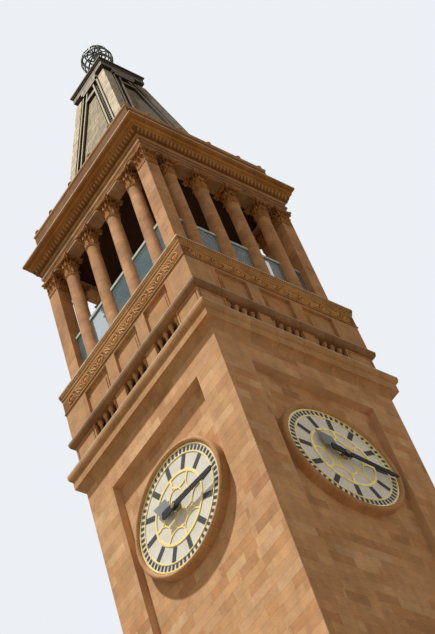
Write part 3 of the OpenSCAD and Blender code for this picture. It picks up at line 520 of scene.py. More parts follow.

# Each finish has its maker and what that maker is told
# The lead layers of the mouldings are pale lead edges with a painted highlight of the sunlit top arris
FINISHES = {
    "ashlar": (stone, dict(tones=TAN_TONES, per_stone=True, bed=0.085)),
    "mortar": (stone, dict(tones=((204, 164, 122), (216, 178, 136)), stain=0.2)),
    "dressed": (stone, dict(tones=PALE_TONES, courses=WALL_BLOCKS, stain=0.4)),
    "moulded": (stone, dict(tones=PALE_TONES, courses=WALL_BLOCKS, stain=0.4, layers=(
        (Z_GALLERY - 0.0065, Z_GALLERY - LEAD_HIGHLIGHT_GAP, LEAD_HIGHLIGHT, 0.75),))),
    "rail_stone": (stone, dict(tones=RAIL_TONES, courses=WALL_BLOCKS, stain=0.5, layers=(
        (Z_DADO - 0.006, Z_DADO - LEAD_HIGHLIGHT_GAP, LEAD_HIGHLIGHT, 0.6),))),
    "banded": (stone, dict(tones=BAND_TONES, courses=CORNICE_BLOCKS, stain=0.5, layers=(
        # Painted shade: a shadow line under the scrolls, and the shade behind the scrolls and behind the
        # reeds
        (Z_BAND + 0.006, Z_BAND + 0.013, (132, 88, 44), 0.7),
        (Z_BAND + 0.0135, Z_BAND + 0.070, (130, 84, 38), 0.85),
        (Z_BAND + 0.098, Z_BAND + 0.113, (118, 80, 42), 0.8),
        (Z_BAND_TOP - 0.0065, Z_BAND_TOP - LEAD_HIGHLIGHT_GAP, LEAD_HIGHLIGHT, 0.85)))),
    "scrolls": (stone, dict(tones=((202, 152, 92), (216, 166, 106)))),
    "balusters": (stone, dict(tones=PALE_TONES, stain=0.45)),
    "gallery_stone": (gallery_stone, dict(tones=PALE_TONES, courses=WALL_BLOCKS, stain=0.4)),
    # The dark core between the leaves is painted shade
    "capital_core": (stone, dict(tones=((92, 54, 20), (112, 68, 28)), stain=0.5)),
    "carved": (carved_stone, dict(tones=CARVED_TONES, stain=0.4)),
    "column_stone": (stone, dict(tones=COLUMN_TONES, courses=COLUMN_DRUMS, stain=0.55)),
    # Painted shade on the right side of the architrave
    "architrave_stone": (right_shaded_stone, dict(tones=ARCHITRAVE_TONES, courses=CORNICE_BLOCKS, stain=0.6,
                                            color=(116, 72, 32), share=0.6)),
    # Near-black painted shade on the belfry ceiling
    "belfry_dark": (stone, dict(tones=((48, 29, 15), (62, 38, 20)), stain=0.6)),
    "cornice_stone": (stone, dict(tones=WEATHERED_TONES, courses=CORNICE_BLOCKS, stain=0.45, layers=(
        (Z_BED - 0.001, Z_BED + 0.012, (176, 138, 98), 0.6),
        # Painted shade behind the eggs
        (Z_BED + 0.013, Z_BED + 0.047, EGG_GAP_SHADE, 0.7),
        (Z_ROOF - 0.034, Z_ROOF - 0.0075, (138, 86, 36), 0.55),
        (Z_ROOF - 0.0075, Z_ROOF - LEAD_HIGHLIGHT_GAP, LEAD_HIGHLIGHT, 0.75)))),
    "egg_stone": (stone, dict(tones=((176, 126, 72), (192, 142, 86)), stain=0.4)),
    "weathered": (stone, dict(tones=((158, 106, 60), (176, 124, 76)), stain=0.5)),
    "parapet_stone": (stone, dict(tones=PARAPET_TONES, courses=PARAPET_BLOCKS, stain=0.5, layers=(
        (Z_PARAPET - 0.02, Z_PARAPET - 0.0045, (196, 160, 118), 0.6),
        (Z_PARAPET - 0.0045, Z_PARAPET - LEAD_HIGHLIGHT_GAP, LEAD_HIGHLIGHT, 0.7)))),
    "spire_stone": (spire_stone, dict(tones=CREAM_TONES)),
    "spire_pier_stone": (spire_stone, dict(tones=((198, 182, 150), (220, 204, 173)))),
    "spire_grille": (spire_grille, {}),
    "drum_stone": (drum_stone, dict(tones=PALE_TONES, stain=0.35, wedges=24)),
    "dial_glass": (dial_glass, {}),
    "screen_glass": (screen_glass, {}),
    "oak_boards": (oak_boards, {}),
    "lead": (metal, dict(color=(196, 188, 166), wear=(160, 150, 128), roughness=0.6)),
    "gilding": (metal, dict(color=(244, 222, 134), wear=(228, 200, 112), roughness=0.4, metallic=0.45)),
    "dull_gilding": (metal, dict(color=(150, 122, 76), wear=(104, 84, 54), roughness=0.5, metallic=0.5)),
    "grey_enamel": (metal, dict(color=(70, 70, 72), wear=(86, 86, 88), roughness=0.6, shine=0.15)),
    "minute_paint": (metal, dict(color=(34, 34, 37), wear=(50, 50, 53), roughness=0.6, shine=0.15)),
    # The hour hand's pale grey is partly a painted reflection of the sky on its paint
    "hour_paint": (metal, dict(color=(134, 139, 142), wear=(154, 159, 162), roughness=0.55, blotch=14.0,
                               shine=0.2)),
    "bronze": (metal, dict(color=(74, 78, 74), wear=(104, 104, 88), roughness=0.32, metallic=0.5)),
    "white_paint": (metal, dict(color=(226, 226, 222), wear=(206, 206, 202), roughness=0.4)),
    "pale_rail": (metal, dict(color=(168, 182, 168), wear=(146, 160, 148), roughness=0.4, metallic=0.1)),
}

# The finish of each CAD node, apart from the hands
NODE_FINISHES = {
    "mortar": ("corner_piers", "wall_panels", "wall_head"),
    "dressed": ("ground_slab", "plinth_course", "door_frame", "dado_wall", "dado_tablets", "belfry_floor",
                "roof_slab"),
    "gallery_stone": ("gallery_wall",),
    "moulded": ("lower_cornice",),
    "rail_stone": ("gallery_rail",),
    "banded": ("frieze_rail",),
    "balusters": ("balusters",),
    "carved": ("post_capitals", "column_capitals"),
    "column_stone": ("columns", "belfry_posts"),
    "architrave_stone": ("architrave",),
    "weathered": ("parapet_bosses",),
    "cornice_stone": ("main_cornice",),
    "parapet_stone": ("parapet",),
    "drum_stone": ("clock_drums",),
    "spire_stone": ("spire_shell", "spire_ribs", "spire_cap"),
    "spire_pier_stone": ("spire_piers",),
    "spire_grille": ("spire_louvres",),
    "belfry_dark": ("belfry_ceiling",),
    "oak_boards": ("door_leaf",),
    "dial_glass": ("clock_dials",),
    "grey_enamel": ("dial_marks",),
    "gilding": ("dial_tracery",),
    "dull_gilding": ("clock_axles",),
    "bronze": ("wire_globe", "globe_stem"),
    "white_paint": ("globe_spike",),
    "screen_glass": ("glass_screens",),
    "pale_rail": ("screen_rails",),
}


@functools.lru_cache(maxsize=None)
def material(name):
    """The material of a finish, made the first time that it is asked for."""
    maker, details = FINISHES[name]
    return maker(name, **details).material


def clothe(node, name):
    """Gives a CAD node one material in every slot."""
    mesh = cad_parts[node].data
    mesh.materials.clear()
    mesh.materials.append(material(name))


# Geometry Nodes

def modifier_tree(name, **inputs):
    """A geometry tree, and its start geometry and inputs. An input is a number, or a kind of socket."""
    group = bpy.data.node_groups.new(name, "GeometryNodeTree")

    def socket(label, kind, in_out="INPUT"):
        return group.interface.new_socket(label, in_out=in_out, socket_type="NodeSocket" + kind)

    socket("Geometry", "Geometry")
    for label, value in inputs.items():
        if isinstance(value, str):
            socket(label, value)
        else:
            socket(label, "Int" if isinstance(value, int) else "Float").default_value = value
    socket("Geometry", "Geometry", "OUTPUT")
    tree = Tree(group)
    given = tree.add("NodeGroupInput").outputs
    return group, tree, [Value(tree, output) for output in given if output.name]


def end_tree(tree, instances, surface):
    """Realizes the instances, sets their material and links the result to the output."""
    real = tree.geo("RealizeInstances", {0: instances})
    dressed = tree.geo("SetMaterial", {"Geometry": real, "Material": surface})
    tree.put(tree.add("NodeGroupOutput").inputs[0], dressed)


def grown(group, start=None, pattern=None, **values):
    """The plain mesh that a geometry tree makes with these inputs.

    It works on the start mesh and repeats the pattern mesh, where it needs them. Both are used up.
    """
    parts = []
    for mesh in (start, pattern):
        parts.append(bpy.data.objects.new("grower", mesh or bpy.data.meshes.new("grower")))
        bpy.context.scene.collection.objects.link(parts[-1])
    base, values["Pattern"] = parts
    modifier = base.modifiers.new("grow", "NODES")
    modifier.node_group = group
    for item in group.interface.items_tree:
        if item.in_out == "INPUT" and item.name in values:
            modifier[item.identifier] = values[item.name]
    base.update_tag()
    shown = base.evaluated_get(bpy.context.evaluated_depsgraph_get())
    made = bpy.data.meshes.new_from_object(shown)
    for part in parts:
        mesh = part.data
        bpy.data.objects.remove(part)
        bpy.data.meshes.remove(mesh)
    return made


@functools.lru_cache(maxsize=None)
def course_tree():
    """Courses of blocks on a front wall patch, cut from one endless bond so that patches match."""
    group, tree, inputs = modifier_tree(
        "stone_courses", Pattern="Object", Left=-1.0, Right=1.0, Bottom=0.0, Top=1.0, Face=1.0, Length=0.1,
        Course=0.045, Joint=0.001, Depth=0.003, Seed=0, Material="Material")
    _, pattern, first, last, bottom, top, face, length, course, joint, depth, seed, surface = inputs
    row_shift = 211.0
    index = tree.geo("InputIndex")
    first_row = (bottom / course).floor()
    first_column = (first / length).floor() - 2.0
    rows = (top / course).ceil() - first_row
    columns = (last / length).ceil() + 1.0 - first_column
    row = (index / columns).floor() + first_row
    column = index % columns + first_column

    def chance(key, lowest, highest, shift):
        values = {2: lowest, 3: highest, "ID": key, "Seed": seed + shift}
        return tree.out("FunctionNodeRandomValue", values, output=1, data_type="FLOAT")

    def edge(number):
        jitter = chance(row * row_shift + number, -0.16, 0.16, 0.0)
        place = (number + row % 2.0 * 0.5 + jitter) * length
        return place.most(first).least(last)

    left, right = edge(column), edge(column + 1.0)
    foot = (row * course).most(bottom)
    head = ((row + 1.0) * course).least(top)
    middle = tree.vector((left + right) * 0.5, depth * 0.4 - face, (foot + head) * 0.5)
    points = tree.geo("Points", {"Count": columns * rows, "Position": middle})
    points = tree.geo("StoreNamedAttribute",
                      {"Geometry": points, "Name": "tone", "Value": chance(index, 0.0, 1.0, 7.0)})
    size = tree.vector(right - left - joint, depth, head - foot - joint * 0.4)
    points = tree.geo("StoreNamedAttribute", {"Geometry": points, "Name": "size", "Value": size},
                      data_type="FLOAT_VECTOR")
    stored = tree.geo("InputNamedAttribute", {"Name": "size"}, data_type="FLOAT_VECTOR")
    wide, _, tall = tree.split(stored)
    thin = wide.least(tall) < joint * 3.0
    points = tree.geo("DeleteGeometry", {"Geometry": points, "Selection": thin})
    block = tree.geo("ObjectInfo", {"Object": pattern}, "Geometry")
    stones = tree.geo("InstanceOnPoints", {"Points": points, "Instance": block, "Scale": stored})
    end_tree(tree, stones, surface)
    return group


def ornaments(tree, pattern, count, place, turn, surface):
    """Ends a tree with the pattern at count places, turned about X, Y and Z."""
    points = tree.geo("Points", {"Count": count, "Position": place})
    shape = tree.geo("ObjectInfo", {"Object": pattern}, "Geometry")
    rotation = tree.out("FunctionNodeEulerToRotation", {0: turn})
    placed = tree.geo("InstanceOnPoints", {"Points": points, "Instance": shape, "Rotation": rotation})
    end_tree(tree, placed, surface)


@functools.lru_cache(maxsize=None)
def row_tree():
    """A row of like ornaments along a front wall."""
    group, tree, inputs = modifier_tree(
        "ornament_row", Pattern="Object", Count=8, First=-0.4, Pitch=0.1, Face=0.44, Height=5.0, Tilt=0.0,
        Material="Material")
    _, pattern, count, first, pitch, face, height, tilt, surface = inputs
    place = tree.vector(first + tree.geo("InputIndex") * pitch, face * -1.0, height)
    ornaments(tree, pattern, count, place, tree.vector(tilt, 0.0, 0.0), surface)
    return group


@functools.lru_cache(maxsize=None)
def ring_tree():
    """Like ornaments in a ring round an upright axis, each facing away from it."""
    group, tree, inputs = modifier_tree(
        "ornament_ring", Pattern="Object", Count=8, Radius=0.03, Height=0.0, Start=0.0, Material="Material")
    _, pattern, count, radius, height, first_turn, surface = inputs
    turn = first_turn + tree.geo("InputIndex") * (2 * math.pi / count)
    x = radius * tree.math("SINE", turn)
    y = radius * tree.math("COSINE", turn)
    place = tree.vector(x, y * -1.0, height)
    ornaments(tree, pattern, count, place, tree.vector(0.0, 0.0, turn), surface)
    return group


@functools.lru_cache(maxsize=None)
def bar_tree():
    """A round bar along the edges of the start mesh."""
    group, tree, inputs = modifier_tree("carved_bar", Radius=0.002, Sides=6, Material="Material")
    start, radius, sides, surface = inputs
    path = tree.geo("MeshToCurve", {"Mesh": start})
    ring = tree.geo("CurvePrimitiveCircle", {"Resolution": sides, "Radius": radius})
    made = tree.geo("CurveToMesh", {"Curve": path, "Profile Curve": ring, "Fill Caps": True})
    end_tree(tree, made, surface)
    return group


# Meshes

def joined(name, meshes):
    """One object made of several meshes, which are used up."""
    parts = [bpy.data.objects.new(name + "_part", mesh) for mesh in meshes]
    for part in parts:
        bpy.context.scene.collection.objects.link(part)
    with bpy.context.temp_override(active_object=parts[0], selected_editable_objects=parts):
        bpy.ops.object.join()
    parts[0].name = name
    parts[0].data.name = name
    return parts[0]


def merged(meshes):
    """One mesh made of several, which are used up."""
    made = joined("merged", meshes)
    mesh = made.data
    bpy.data.objects.remove(made)
    return mesh


def moved(mesh, x, y, z):
    mesh.transform(Matrix.Translation((x, y, z)))
    return mesh


def rotated(mesh, degrees, axis):
    mesh.transform(Matrix.Rotation(math.radians(degrees), 4, axis))
    return mesh


def turned(mesh, side):
    """Turns a mesh made for the front so that it belongs to another side."""
    return rotated(mesh, 90 * side, "Z")


def all_round(mesh):
    """A mesh made for the front and its copies for the other sides."""
    return [mesh] + [turned(mesh.copy(), side) for side in (1, 2, 3)]


def finished(mesh, finish):
    mesh.materials.append(material(finish))
    return mesh


def mesh_of(name, verts, faces):
    mesh = bpy.data.meshes.new(name)
    mesh.from_pydata(verts, [], faces)
    mesh.update()
    return mesh


def band(start, count):
    """Faces between a ring of count points and the next one."""
    return [(start + i, start + (i + 1) % count, start + count + (i + 1) % count, start + count + i)
            for i in range(count)]


def mesh_box(name, size):
    """A block round the origin with these full sizes."""
    x, y, z = (length / 2 for length in size)
    corners = ((-1, -1), (1, -1), (1, 1), (-1, 1))
    verts = [(sx * x, sy * y, sz * z) for sz in (-1, 1) for sx, sy in corners]
    return mesh_of(name, verts, [(3, 2, 1, 0), (4, 5, 6, 7)] + band(0, 4))


def dressed_block():
    """A unit block whose front edges, on the -Y side, are chamfered."""
    chamfer_x = 0.003
    chamfer_z = 0.006
    corners = ((-0.5, -0.5), (0.5, -0.5), (0.5, 0.5), (-0.5, 0.5))
    back = [(x, 0.5, z) for x, z in corners]
    rim = [(x, -0.2, z) for x, z in corners]
    face = [(x * (1 - 2 * chamfer_x), -0.5, z * (1 - 2 * chamfer_z)) for x, z in corners]
    faces = [(3, 2, 1, 0), (8, 9, 10, 11)] + band(0, 4) + band(4, 4)
    return mesh_of("dressed_block", back + rim + face, faces)


def revolved(name, profile, sides, flat=1.0):
    """A closed solid of revolution about Z from (radius, height) pairs that end at radius 0."""
    verts = [(0, 0, profile[0][1])]
    for radius, height in profile[1:-1]:
        for i in range(sides):
            turn = 2 * math.pi * i / sides
            verts.append((radius * math.cos(turn), flat * radius * math.sin(turn), height))
    verts.append((0, 0, profile[-1][1]))
    last = len(verts) - 1
    faces = []
    for i in range(sides):
        k = (i + 1) % sides
        faces.append((0, 1 + k, 1 + i))
        faces.append((last, last - sides + i, last - sides + k))
    for ring in range(len(profile) - 3):
        faces += band(1 + ring * sides, sides)
    return mesh_of(name, verts, faces)


def bar(radius, points, sides=6):
    """A round bar from point to point."""
    path = bpy.data.meshes.new("path")
    path.from_pydata(points, [(i, i + 1) for i in range(len(points) - 1)], [])
    return grown(bar_tree(), start=path, Radius=radius, Sides=sides)


def carved_line(radius, points):
    """A round bar on the face of a wall through points (x, z)."""
    return bar(radius, [(x, -0.0006, z) for x, z in points])


def in_row(pattern, finish, count, pitch, face, height, tilt=0.0, first=None):
    """A row of like ornaments along the front, centred unless the first place is given."""
    if first is None:
        first = -pitch * (count - 1) / 2
    return grown(row_tree(), pattern=pattern, Count=count, First=first, Pitch=pitch, Face=face,
                 Height=height, Tilt=tilt, Material=material(finish))


def in_ring(pattern, count, radius, height=0.0, start=0.0):
    """Carved ornaments in a ring round a capital."""
    return grown(ring_tree(), pattern=pattern, Count=count, Radius=radius, Height=height, Start=start,
                 Material=material("carved"))


# Ornament

def bent(mesh, radius):
    """Bends a front ornament round a moulding of this radius, about an axis along X."""
    for vertex in mesh.vertices:
        turn = vertex.co.z / radius
        out = radius - vertex.co.y
        vertex.co.y = radius - out * math.cos(turn)
        vertex.co.z = out * math.sin(turn)
    mesh.update()
    return mesh


def egg():
    """An egg, fuller at its upper end."""
    half_h = 0.0122
    half_w = 0.0052
    rings = 8
    profile = []
    for i in range(rings + 1):
        turn = math.pi * i / rings
        fullness = 1 - 0.16 * math.cos(turn)
        profile.append((half_w * math.sin(turn) * fullness, -half_h * math.cos(turn)))
    return revolved("egg", profile, 8, 0.85)


def egg_rim():
    """The rim round the sides and foot of an egg, with a dart beside it."""
    half_w = 0.0078
    half_h = 0.0148
    turns = [math.radians(degrees) for degrees in range(145, 396, 25)]
    shell = bar(0.0012, [(half_w * math.cos(turn), -0.0008, half_h * math.sin(turn)) for turn in turns], 5)
    w, h, d = 0.0013, 0.0145, 0.0026
    corners = [(0, -d, 0.002), (-w, 0.001, 0.006), (0, 0.001, -h), (w, 0.001, 0.006), (0, 0.001, h)]
    dart = mesh_of("dart", corners, [(0, 1, 2), (0, 2, 3), (0, 4, 1), (0, 3, 4), (1, 4, 3, 2)])
    return merged([shell, moved(dart, 0.00975, 0, 0)])


def leaf_stroke(length, width, depth):
    """A pointed leaf with a ridge, lying along X on the wall."""
    long, half = length / 2, width / 2
    verts = [(-long, 0, 0), (0, 0, half), (long, 0, 0), (0, 0, -half), (0.1 * length, -depth, 0)]
    return mesh_of("leaf_stroke", verts, [(4, 1, 0), (4, 2, 1), (4, 3, 2), (4, 0, 3), (0, 1, 2, 3)])


def scroll():
    """One scroll of the carved band, with its boss and petals."""
    inner = 0.0145
    turns = 1.2
    steps = 34
    petals = 5
    spiral = []
    for i in range(steps + 1):
        radius = SCROLL_R + (inner - SCROLL_R) * i / steps
        angle = SCROLL_END + 2 * math.pi * turns * i / steps
        spiral.append((radius * math.cos(angle), radius * math.sin(angle)))
    domed = [(0, -0.003), (0.0098, -0.001), (0.0088, 0.0022), (0.005, 0.0038), (0, 0.0042)]
    parts = [carved_line(0.0027, spiral), rotated(revolved("boss", domed, 10), 90, "X")]
    for i in range(petals):
        petal = moved(leaf_stroke(0.010, 0.0042, 0.0052), 0.0065, 0, 0)
        parts.append(rotated(petal, 360 * i / petals, "Y"))
    return merged(parts)


def scroll_link(pitch):
    """The stalk and leaves between two scrolls, from the middle of the first one."""
    stalk = ((SCROLL_R * 0.6, 0.021), (0.036, 0.020), (0.050, 0.011), (0.062, -0.006), (0.076, -0.019),
             (pitch - 0.020, -0.0225), (pitch - 0.004, -0.0235),
             (pitch + SCROLL_R * math.cos(SCROLL_END), SCROLL_R * math.sin(SCROLL_END)))
    leaves = ((0.036, 0.0125, -58, 0.030), (0.045, 0.0115, -52, 0.034), (0.054, 0.015, -38, 0.030),
              (0.044, -0.006, -64, 0.030), (0.053, -0.011, -54, 0.032), (0.063, -0.001, -52, 0.036),
              (0.073, 0.009, -46, 0.034), (0.080, 0.016, -30, 0.022), (0.035, -0.018, -40, 0.020))
    parts = [carved_line(0.0024, stalk)]
    for x, z, tilt, length in leaves:
        parts.append(moved(rotated(leaf_stroke(length, 0.0098, 0.0044), -tilt, "Y"), x, 0, z))
    return merged(parts)


def acanthus(length, width, curl, lobes):
    """A leaf that climbs a bell and curls out at its tip, on the -Y side with its foot at the origin."""
    steps = 4 * lobes
    across = 4
    thick = 0.0016
    verts = []
    for i in range(steps + 1):
        share = i / steps
        lobe = 0.72 + 0.28 * abs(math.sin(math.pi * lobes * share))
        taper = 1.0 - 0.75 * (max(share - 0.55, 0.0) / 0.45) ** 1.5
        half = width / 2 * lobe * taper
        over = max(share - 0.62, 0.0) / 0.38
        out = 0.0015 + curl * over ** 1.4
        z = length * min(share / 0.8, 1.0) - 0.25 * length * max(over - 0.55, 0.0)
        for k in range(across + 1):
            side = 2 * k / across - 1
            ridge = 0.0016 * (1 - abs(side)) + (0.0009 if k % 2 == 0 else 0)
            y = -out - ridge + 0.003 * abs(side) * (1 - over)
            verts.append((half * side, y, z + 0.0012 * abs(side)))
    columns = across + 1
    count = len(verts)
    verts += [(x, y + thick, z) for x, y, z in verts]
    faces = []
    for i in range(steps):
        for k in range(across):
            a = i * columns + k
            d = a + columns
            faces.append((a, a + 1, d + 1, d))
            faces.append((count + d, count + d + 1, count + a + 1, count + a))
    rim = list(range(columns))
    rim += [i * columns + across for i in range(1, steps + 1)]
    rim += [steps * columns + k for k in range(across - 1, -1, -1)]
    rim += [i * columns for i in range(steps - 1, 0, -1)]
    for a, b in zip(rim, rim[1:] + rim[:1]):
        faces.append((b, a, count + a, count + b))
    return mesh_of("acanthus", verts, faces)


def corner_scrolls(out):
    """Four scrolls on their stalks under the corners of a capital, from out at its bell or post."""
    h = CAPITAL_H
    radius = 0.0085
    centre_y, centre_z = -(SLAB_CORNER - 0.0105), 0.80 * h - 0.002
    path = [(0, -out, 0.42 * h), (0, -out - 0.003, 0.58 * h), (0, -out - 0.009, 0.72 * h)]
    steps = 22
    for i in range(steps + 1):
        share = i / steps
        angle = math.radians(118 - 500 * share)
        r = radius * (1 - 0.72 * share)
        path.append((0, centre_y - r * math.cos(angle), centre_z + r * math.sin(angle)))
    return in_ring(bar(0.0024, path), 4, 0.0, 0.0, math.radians(45))


def hollow_slab(half, dip, bottom, top):
    """A square slab whose four sides curve inwards by dip."""
    steps = 8
    outline = []
    for side in range(4):
        turn = Matrix.Rotation(math.radians(90 * side), 3, "Z")
        for i in range(steps):
            x = half * (2 * i / steps - 1)
            outline.append(turn @ Vector((x, -half + dip * (1 - (x / half) ** 2), 0)))
    count = len(outline)
    verts = [(p.x, p.y, z) for z in (bottom, top) for p in outline]
    faces = [tuple(range(count - 1, -1, -1)), tuple(range(count, 2 * count))]
    return finished(mesh_of("hollow_slab", verts, faces + band(0, count)), "carved")


def top_slab():
    """The two steps of a capital's slab, with a flower in the middle of each side."""
    h = CAPITAL_H
    petals = [(0, -0.002), (0.0075, 0.0), (0.006, 0.003), (0.003, 0.0042), (0, 0.005)]
    flower = rotated(revolved("flower", petals, 8), 90, "X")
    return [hollow_slab(SLAB_HALF - 0.003, 0.0065, 0.87 * h, 0.925 * h),
            hollow_slab(SLAB_HALF, 0.007, 0.925 * h, h - 0.0002),
            in_ring(flower, 4, SLAB_HALF - 0.0085, 0.925 * h)]


def column_capital(leaves):
    """A round capital with three rows of leaves, at the origin."""
    h = CAPITAL_H
    r = NECK_R
    half_step = math.pi / leaves
    profile = [(0, 0), (r, 0.0), (r, 0.5 * h), (r + 0.004, 0.7 * h), (r + 0.010, 0.87 * h),
               (r + 0.010, 0.88 * h), (0, 0.88 * h)]
    parts = [
        finished(revolved("bell", profile, 24), "capital_core"),
        in_ring(acanthus(0.37 * h, 0.0235, 0.0105, 4), leaves, r + 0.0015, 0.001, half_step),
        in_ring(acanthus(0.66 * h, 0.0225, 0.0135, 6), leaves, r, 0.001),
        in_ring(acanthus(0.30 * h, 0.0165, 0.0085, 3), leaves, r + 0.004, 0.53 * h, half_step),
        corner_scrolls(r),
    ]
    return merged(parts + top_slab())


def post_capital():
    """A square capital with three rows of leaves on each side, at the origin."""
    h = CAPITAL_H
    pitch = 0.0225
    core = mesh_box("core", (2 * POST_HALF, 2 * POST_HALF, 0.88 * h))
    parts = [finished(moved(core, 0, 0, 0.44 * h), "capital_core"), corner_scrolls(POST_HALF * 1.2)]
    for count, length, width, curl, foot in ((3, 0.40 * h, 0.0235, 0.0085, 0.001),
                                             (2, 0.66 * h, 0.0225, 0.0115, 0.001),
                                             (3, 0.30 * h, 0.0165, 0.0085, 0.53 * h)):
        leaf = acanthus(length, width, curl, 4)
        parts += all_round(in_row(leaf, "carved", count, pitch, POST_HALF, foot))
    return merged(parts + top_slab())


class TowerMasonry(bpy.types.PropertyGroup):
    """Sizes of the facing stones"""
    course: bpy.props.FloatProperty(
        name="Course height", description="Height of one course of stones", default=0.045, unit="LENGTH")
    length: bpy.props.FloatProperty(
        name="Stone length", description="Usual length of a stone", default=0.104, unit="LENGTH")
    joint: bpy.props.FloatProperty(
        name="Joint", description="Width of the joints", default=0.0009, precision=4, unit="LENGTH")
    depth: bpy.props.FloatProperty(
        name="Facing depth", description="Depth of the facing stones", default=0.003, precision=4,
        unit="LENGTH")


class TowerCarving(bpy.types.PropertyGroup):
    """Counts and sizes of the carved ornament"""
    eggs: bpy.props.IntProperty(
        name="Eggs", description="Eggs on one side of the main cornice", default=43, min=8)
    egg_pitch: bpy.props.FloatProperty(
        name="Egg pitch", description="Distance from egg to egg", default=0.0195, precision=4, unit="LENGTH")
    scrolls: bpy.props.IntProperty(
        name="Scrolls", description="Scrolls on one side of the carved band", default=8, min=2)
    scroll_pitch: bpy.props.FloatProperty(
        name="Scroll pitch", description="Distance from scroll to scroll", default=0.1107, precision=4,
        unit="LENGTH")
    leaves: bpy.props.IntProperty(
        name="Leaves", description="Leaves in one row round a column's capital", default=8, min=4)


class TowerStage(bpy.types.PropertyGroup):
    """Camera and light"""
    heading: bpy.props.FloatProperty(
        name="Heading", description="Turn of the camera from +Y towards -X",
        default=math.radians(38.82), subtype="ANGLE")
    pitch: bpy.props.FloatProperty(
        name="Pitch", description="Tilt of the camera above the horizon",
        default=math.radians(50.41), subtype="ANGLE")
    roll: bpy.props.FloatProperty(
        name="Roll", description="Turn of the camera about its line of sight",
        default=math.radians(21.38), subtype="ANGLE")
    place: bpy.props.FloatVectorProperty(
        name="Place", description="Where the camera stands",
        default=(3.00495, -3.57331, 0.17348), size=3, subtype="TRANSLATION", unit="LENGTH")
    lens: bpy.props.FloatProperty(
        name="Lens", description="Focal length on a 36 mm long side", default=97.58, unit="CAMERA")
    key_light: bpy.props.FloatProperty(
        name="Key light", description="Strength of the key lamp", default=4.65)
    fill_light: bpy.props.FloatProperty(
        name="Fill light", description="Strength of the even light all round", default=0.33)


class TOWER_OT_masonry(bpy.types.Operator):
    """Clothes the shaft in separate facing stones"""
    bl_idname = "tower.masonry"
    bl_label = "Facing stones"

    def execute(self, context):
        sizes = context.scene.tower_masonry
        proud = 0.1 * sizes.depth
        meshes = []
        for side in range(4):
            ends = SHAFT + proud if side % 2 == 0 else SHAFT - sizes.depth + proud - sizes.joint
            patches = [
                (-ends, -RECESS_HALF, Z_PLINTH, Z_RECESS, SHAFT),
                (RECESS_HALF, ends, Z_PLINTH, Z_RECESS, SHAFT),
                (-ends, ends, Z_RECESS, Z_CORNICE, SHAFT),
                (-RECESS_HALF, RECESS_HALF, Z_PLINTH if side else Z_DOOR, Z_RECESS, PANEL_FACE),
            ]
            if side == 0:
                patches.append((-RECESS_HALF, -DOOR_HALF, Z_PLINTH, Z_DOOR, PANEL_FACE))
                patches.append((DOOR_HALF, RECESS_HALF, Z_PLINTH, Z_DOOR, PANEL_FACE))
            for left, right, bottom, top, face in patches:
                stones = grown(course_tree(), pattern=dressed_block(), Left=left, Right=right, Bottom=bottom,
                               Top=top, Face=face, Length=sizes.length, Course=sizes.course,
                               Joint=sizes.joint, Depth=sizes.depth, Seed=11 * side + 3,
                               Material=material("ashlar"))
                meshes.append(turned(stones, side))
        stones = joined("facing_stones", meshes)
        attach(stones, TOWER)
        return {"FINISHED"}


class TOWER_OT_cornice_carving(bpy.types.Operator):
    """Carves the egg moulding and the lead clips of the main cornice"""
    bl_idname = "tower.cornice_carving"
    bl_label = "Cornice carving"

    def execute(self, context):
        sizes = context.scene.tower_carving
        moulding_r = 0.0285
        face = CORNICE - 0.0316
        height = Z_BED + 0.0297
        tilt = math.radians(29.3)
        for name, pattern, finish in (("egg_moulding", egg(), "egg_stone"),
                                      ("egg_rims", egg_rim(), "weathered")):
            eggs = in_row(bent(pattern, moulding_r), finish, sizes.eggs, sizes.egg_pitch, face, height, tilt)
            made = joined(name, all_round(eggs))
            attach(made, TOWER)
        clips = 8
        clip = mesh_box("clip", (0.005, 0.0016, 0.009))
        clip_face = CORNICE - 0.0011
        clip_height = Z_ROOF - 0.005
        front = in_row(clip, "lead", clips, 2 * CORNICE / clips, clip_face, clip_height)
        made = joined("lead_clips", all_round(front))
        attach(made, TOWER)
        return {"FINISHED"}


class TOWER_OT_scroll_band(bpy.types.Operator):
    """Carves the scrolls of the band under the belfry"""
    bl_idname = "tower.scroll_band"
    bl_label = "Scroll band"

    def execute(self, context):
        sizes = context.scene.tower_carving
        pitch = sizes.scroll_pitch
        shift = 0.0025
        first = shift - pitch * (sizes.scrolls - 1) / 2
        height = Z_BAND + 0.0395
        reed_pitch = 0.0092
        reed_face = BAND_FACE + 0.0053
        reed_height = Z_BAND + 0.1045
        reed_tilt = math.radians(12)
        reeds = int(2 * (BAND_FACE - 0.004) / reed_pitch)
        reed = mesh_box("reed", (0.0045, 0.003, 0.009))
        meshes = []
        for front in (
            in_row(scroll(), "scrolls", sizes.scrolls, pitch, BAND_FACE, height, first=first),
            in_row(scroll_link(pitch), "scrolls", sizes.scrolls - 1, pitch, BAND_FACE, height, first=first),
            in_row(reed, "scrolls", reeds, reed_pitch, reed_face, reed_height, reed_tilt),
        ):
            meshes += all_round(front)
        made = joined("scroll_band", meshes)
        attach(made, TOWER)
        return {"FINISHED"}


class TOWER_OT_capitals(bpy.types.Operator):
    """Carves the leafed capitals of the columns and corner posts"""
    bl_idname = "tower.capitals"
    bl_label = "Leafed capitals"

    def execute(self, context):
        column = column_capital(context.scene.tower_carving.leaves)
        for name, capital, places, node in (
            ("carved_column_capitals", column, COLUMN_X, "column_capitals"),
            ("carved_post_capitals", post_capital(), (COLUMN_LINE,), "post_capitals"),
        ):
            made = joined(name, [turned(moved(capital.copy(), x, -COLUMN_LINE, Z_CAPITAL), side)
                                 for side in range(4) for x in places])
            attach(made, TOWER)
            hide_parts(node)
        return {"FINISHED"}


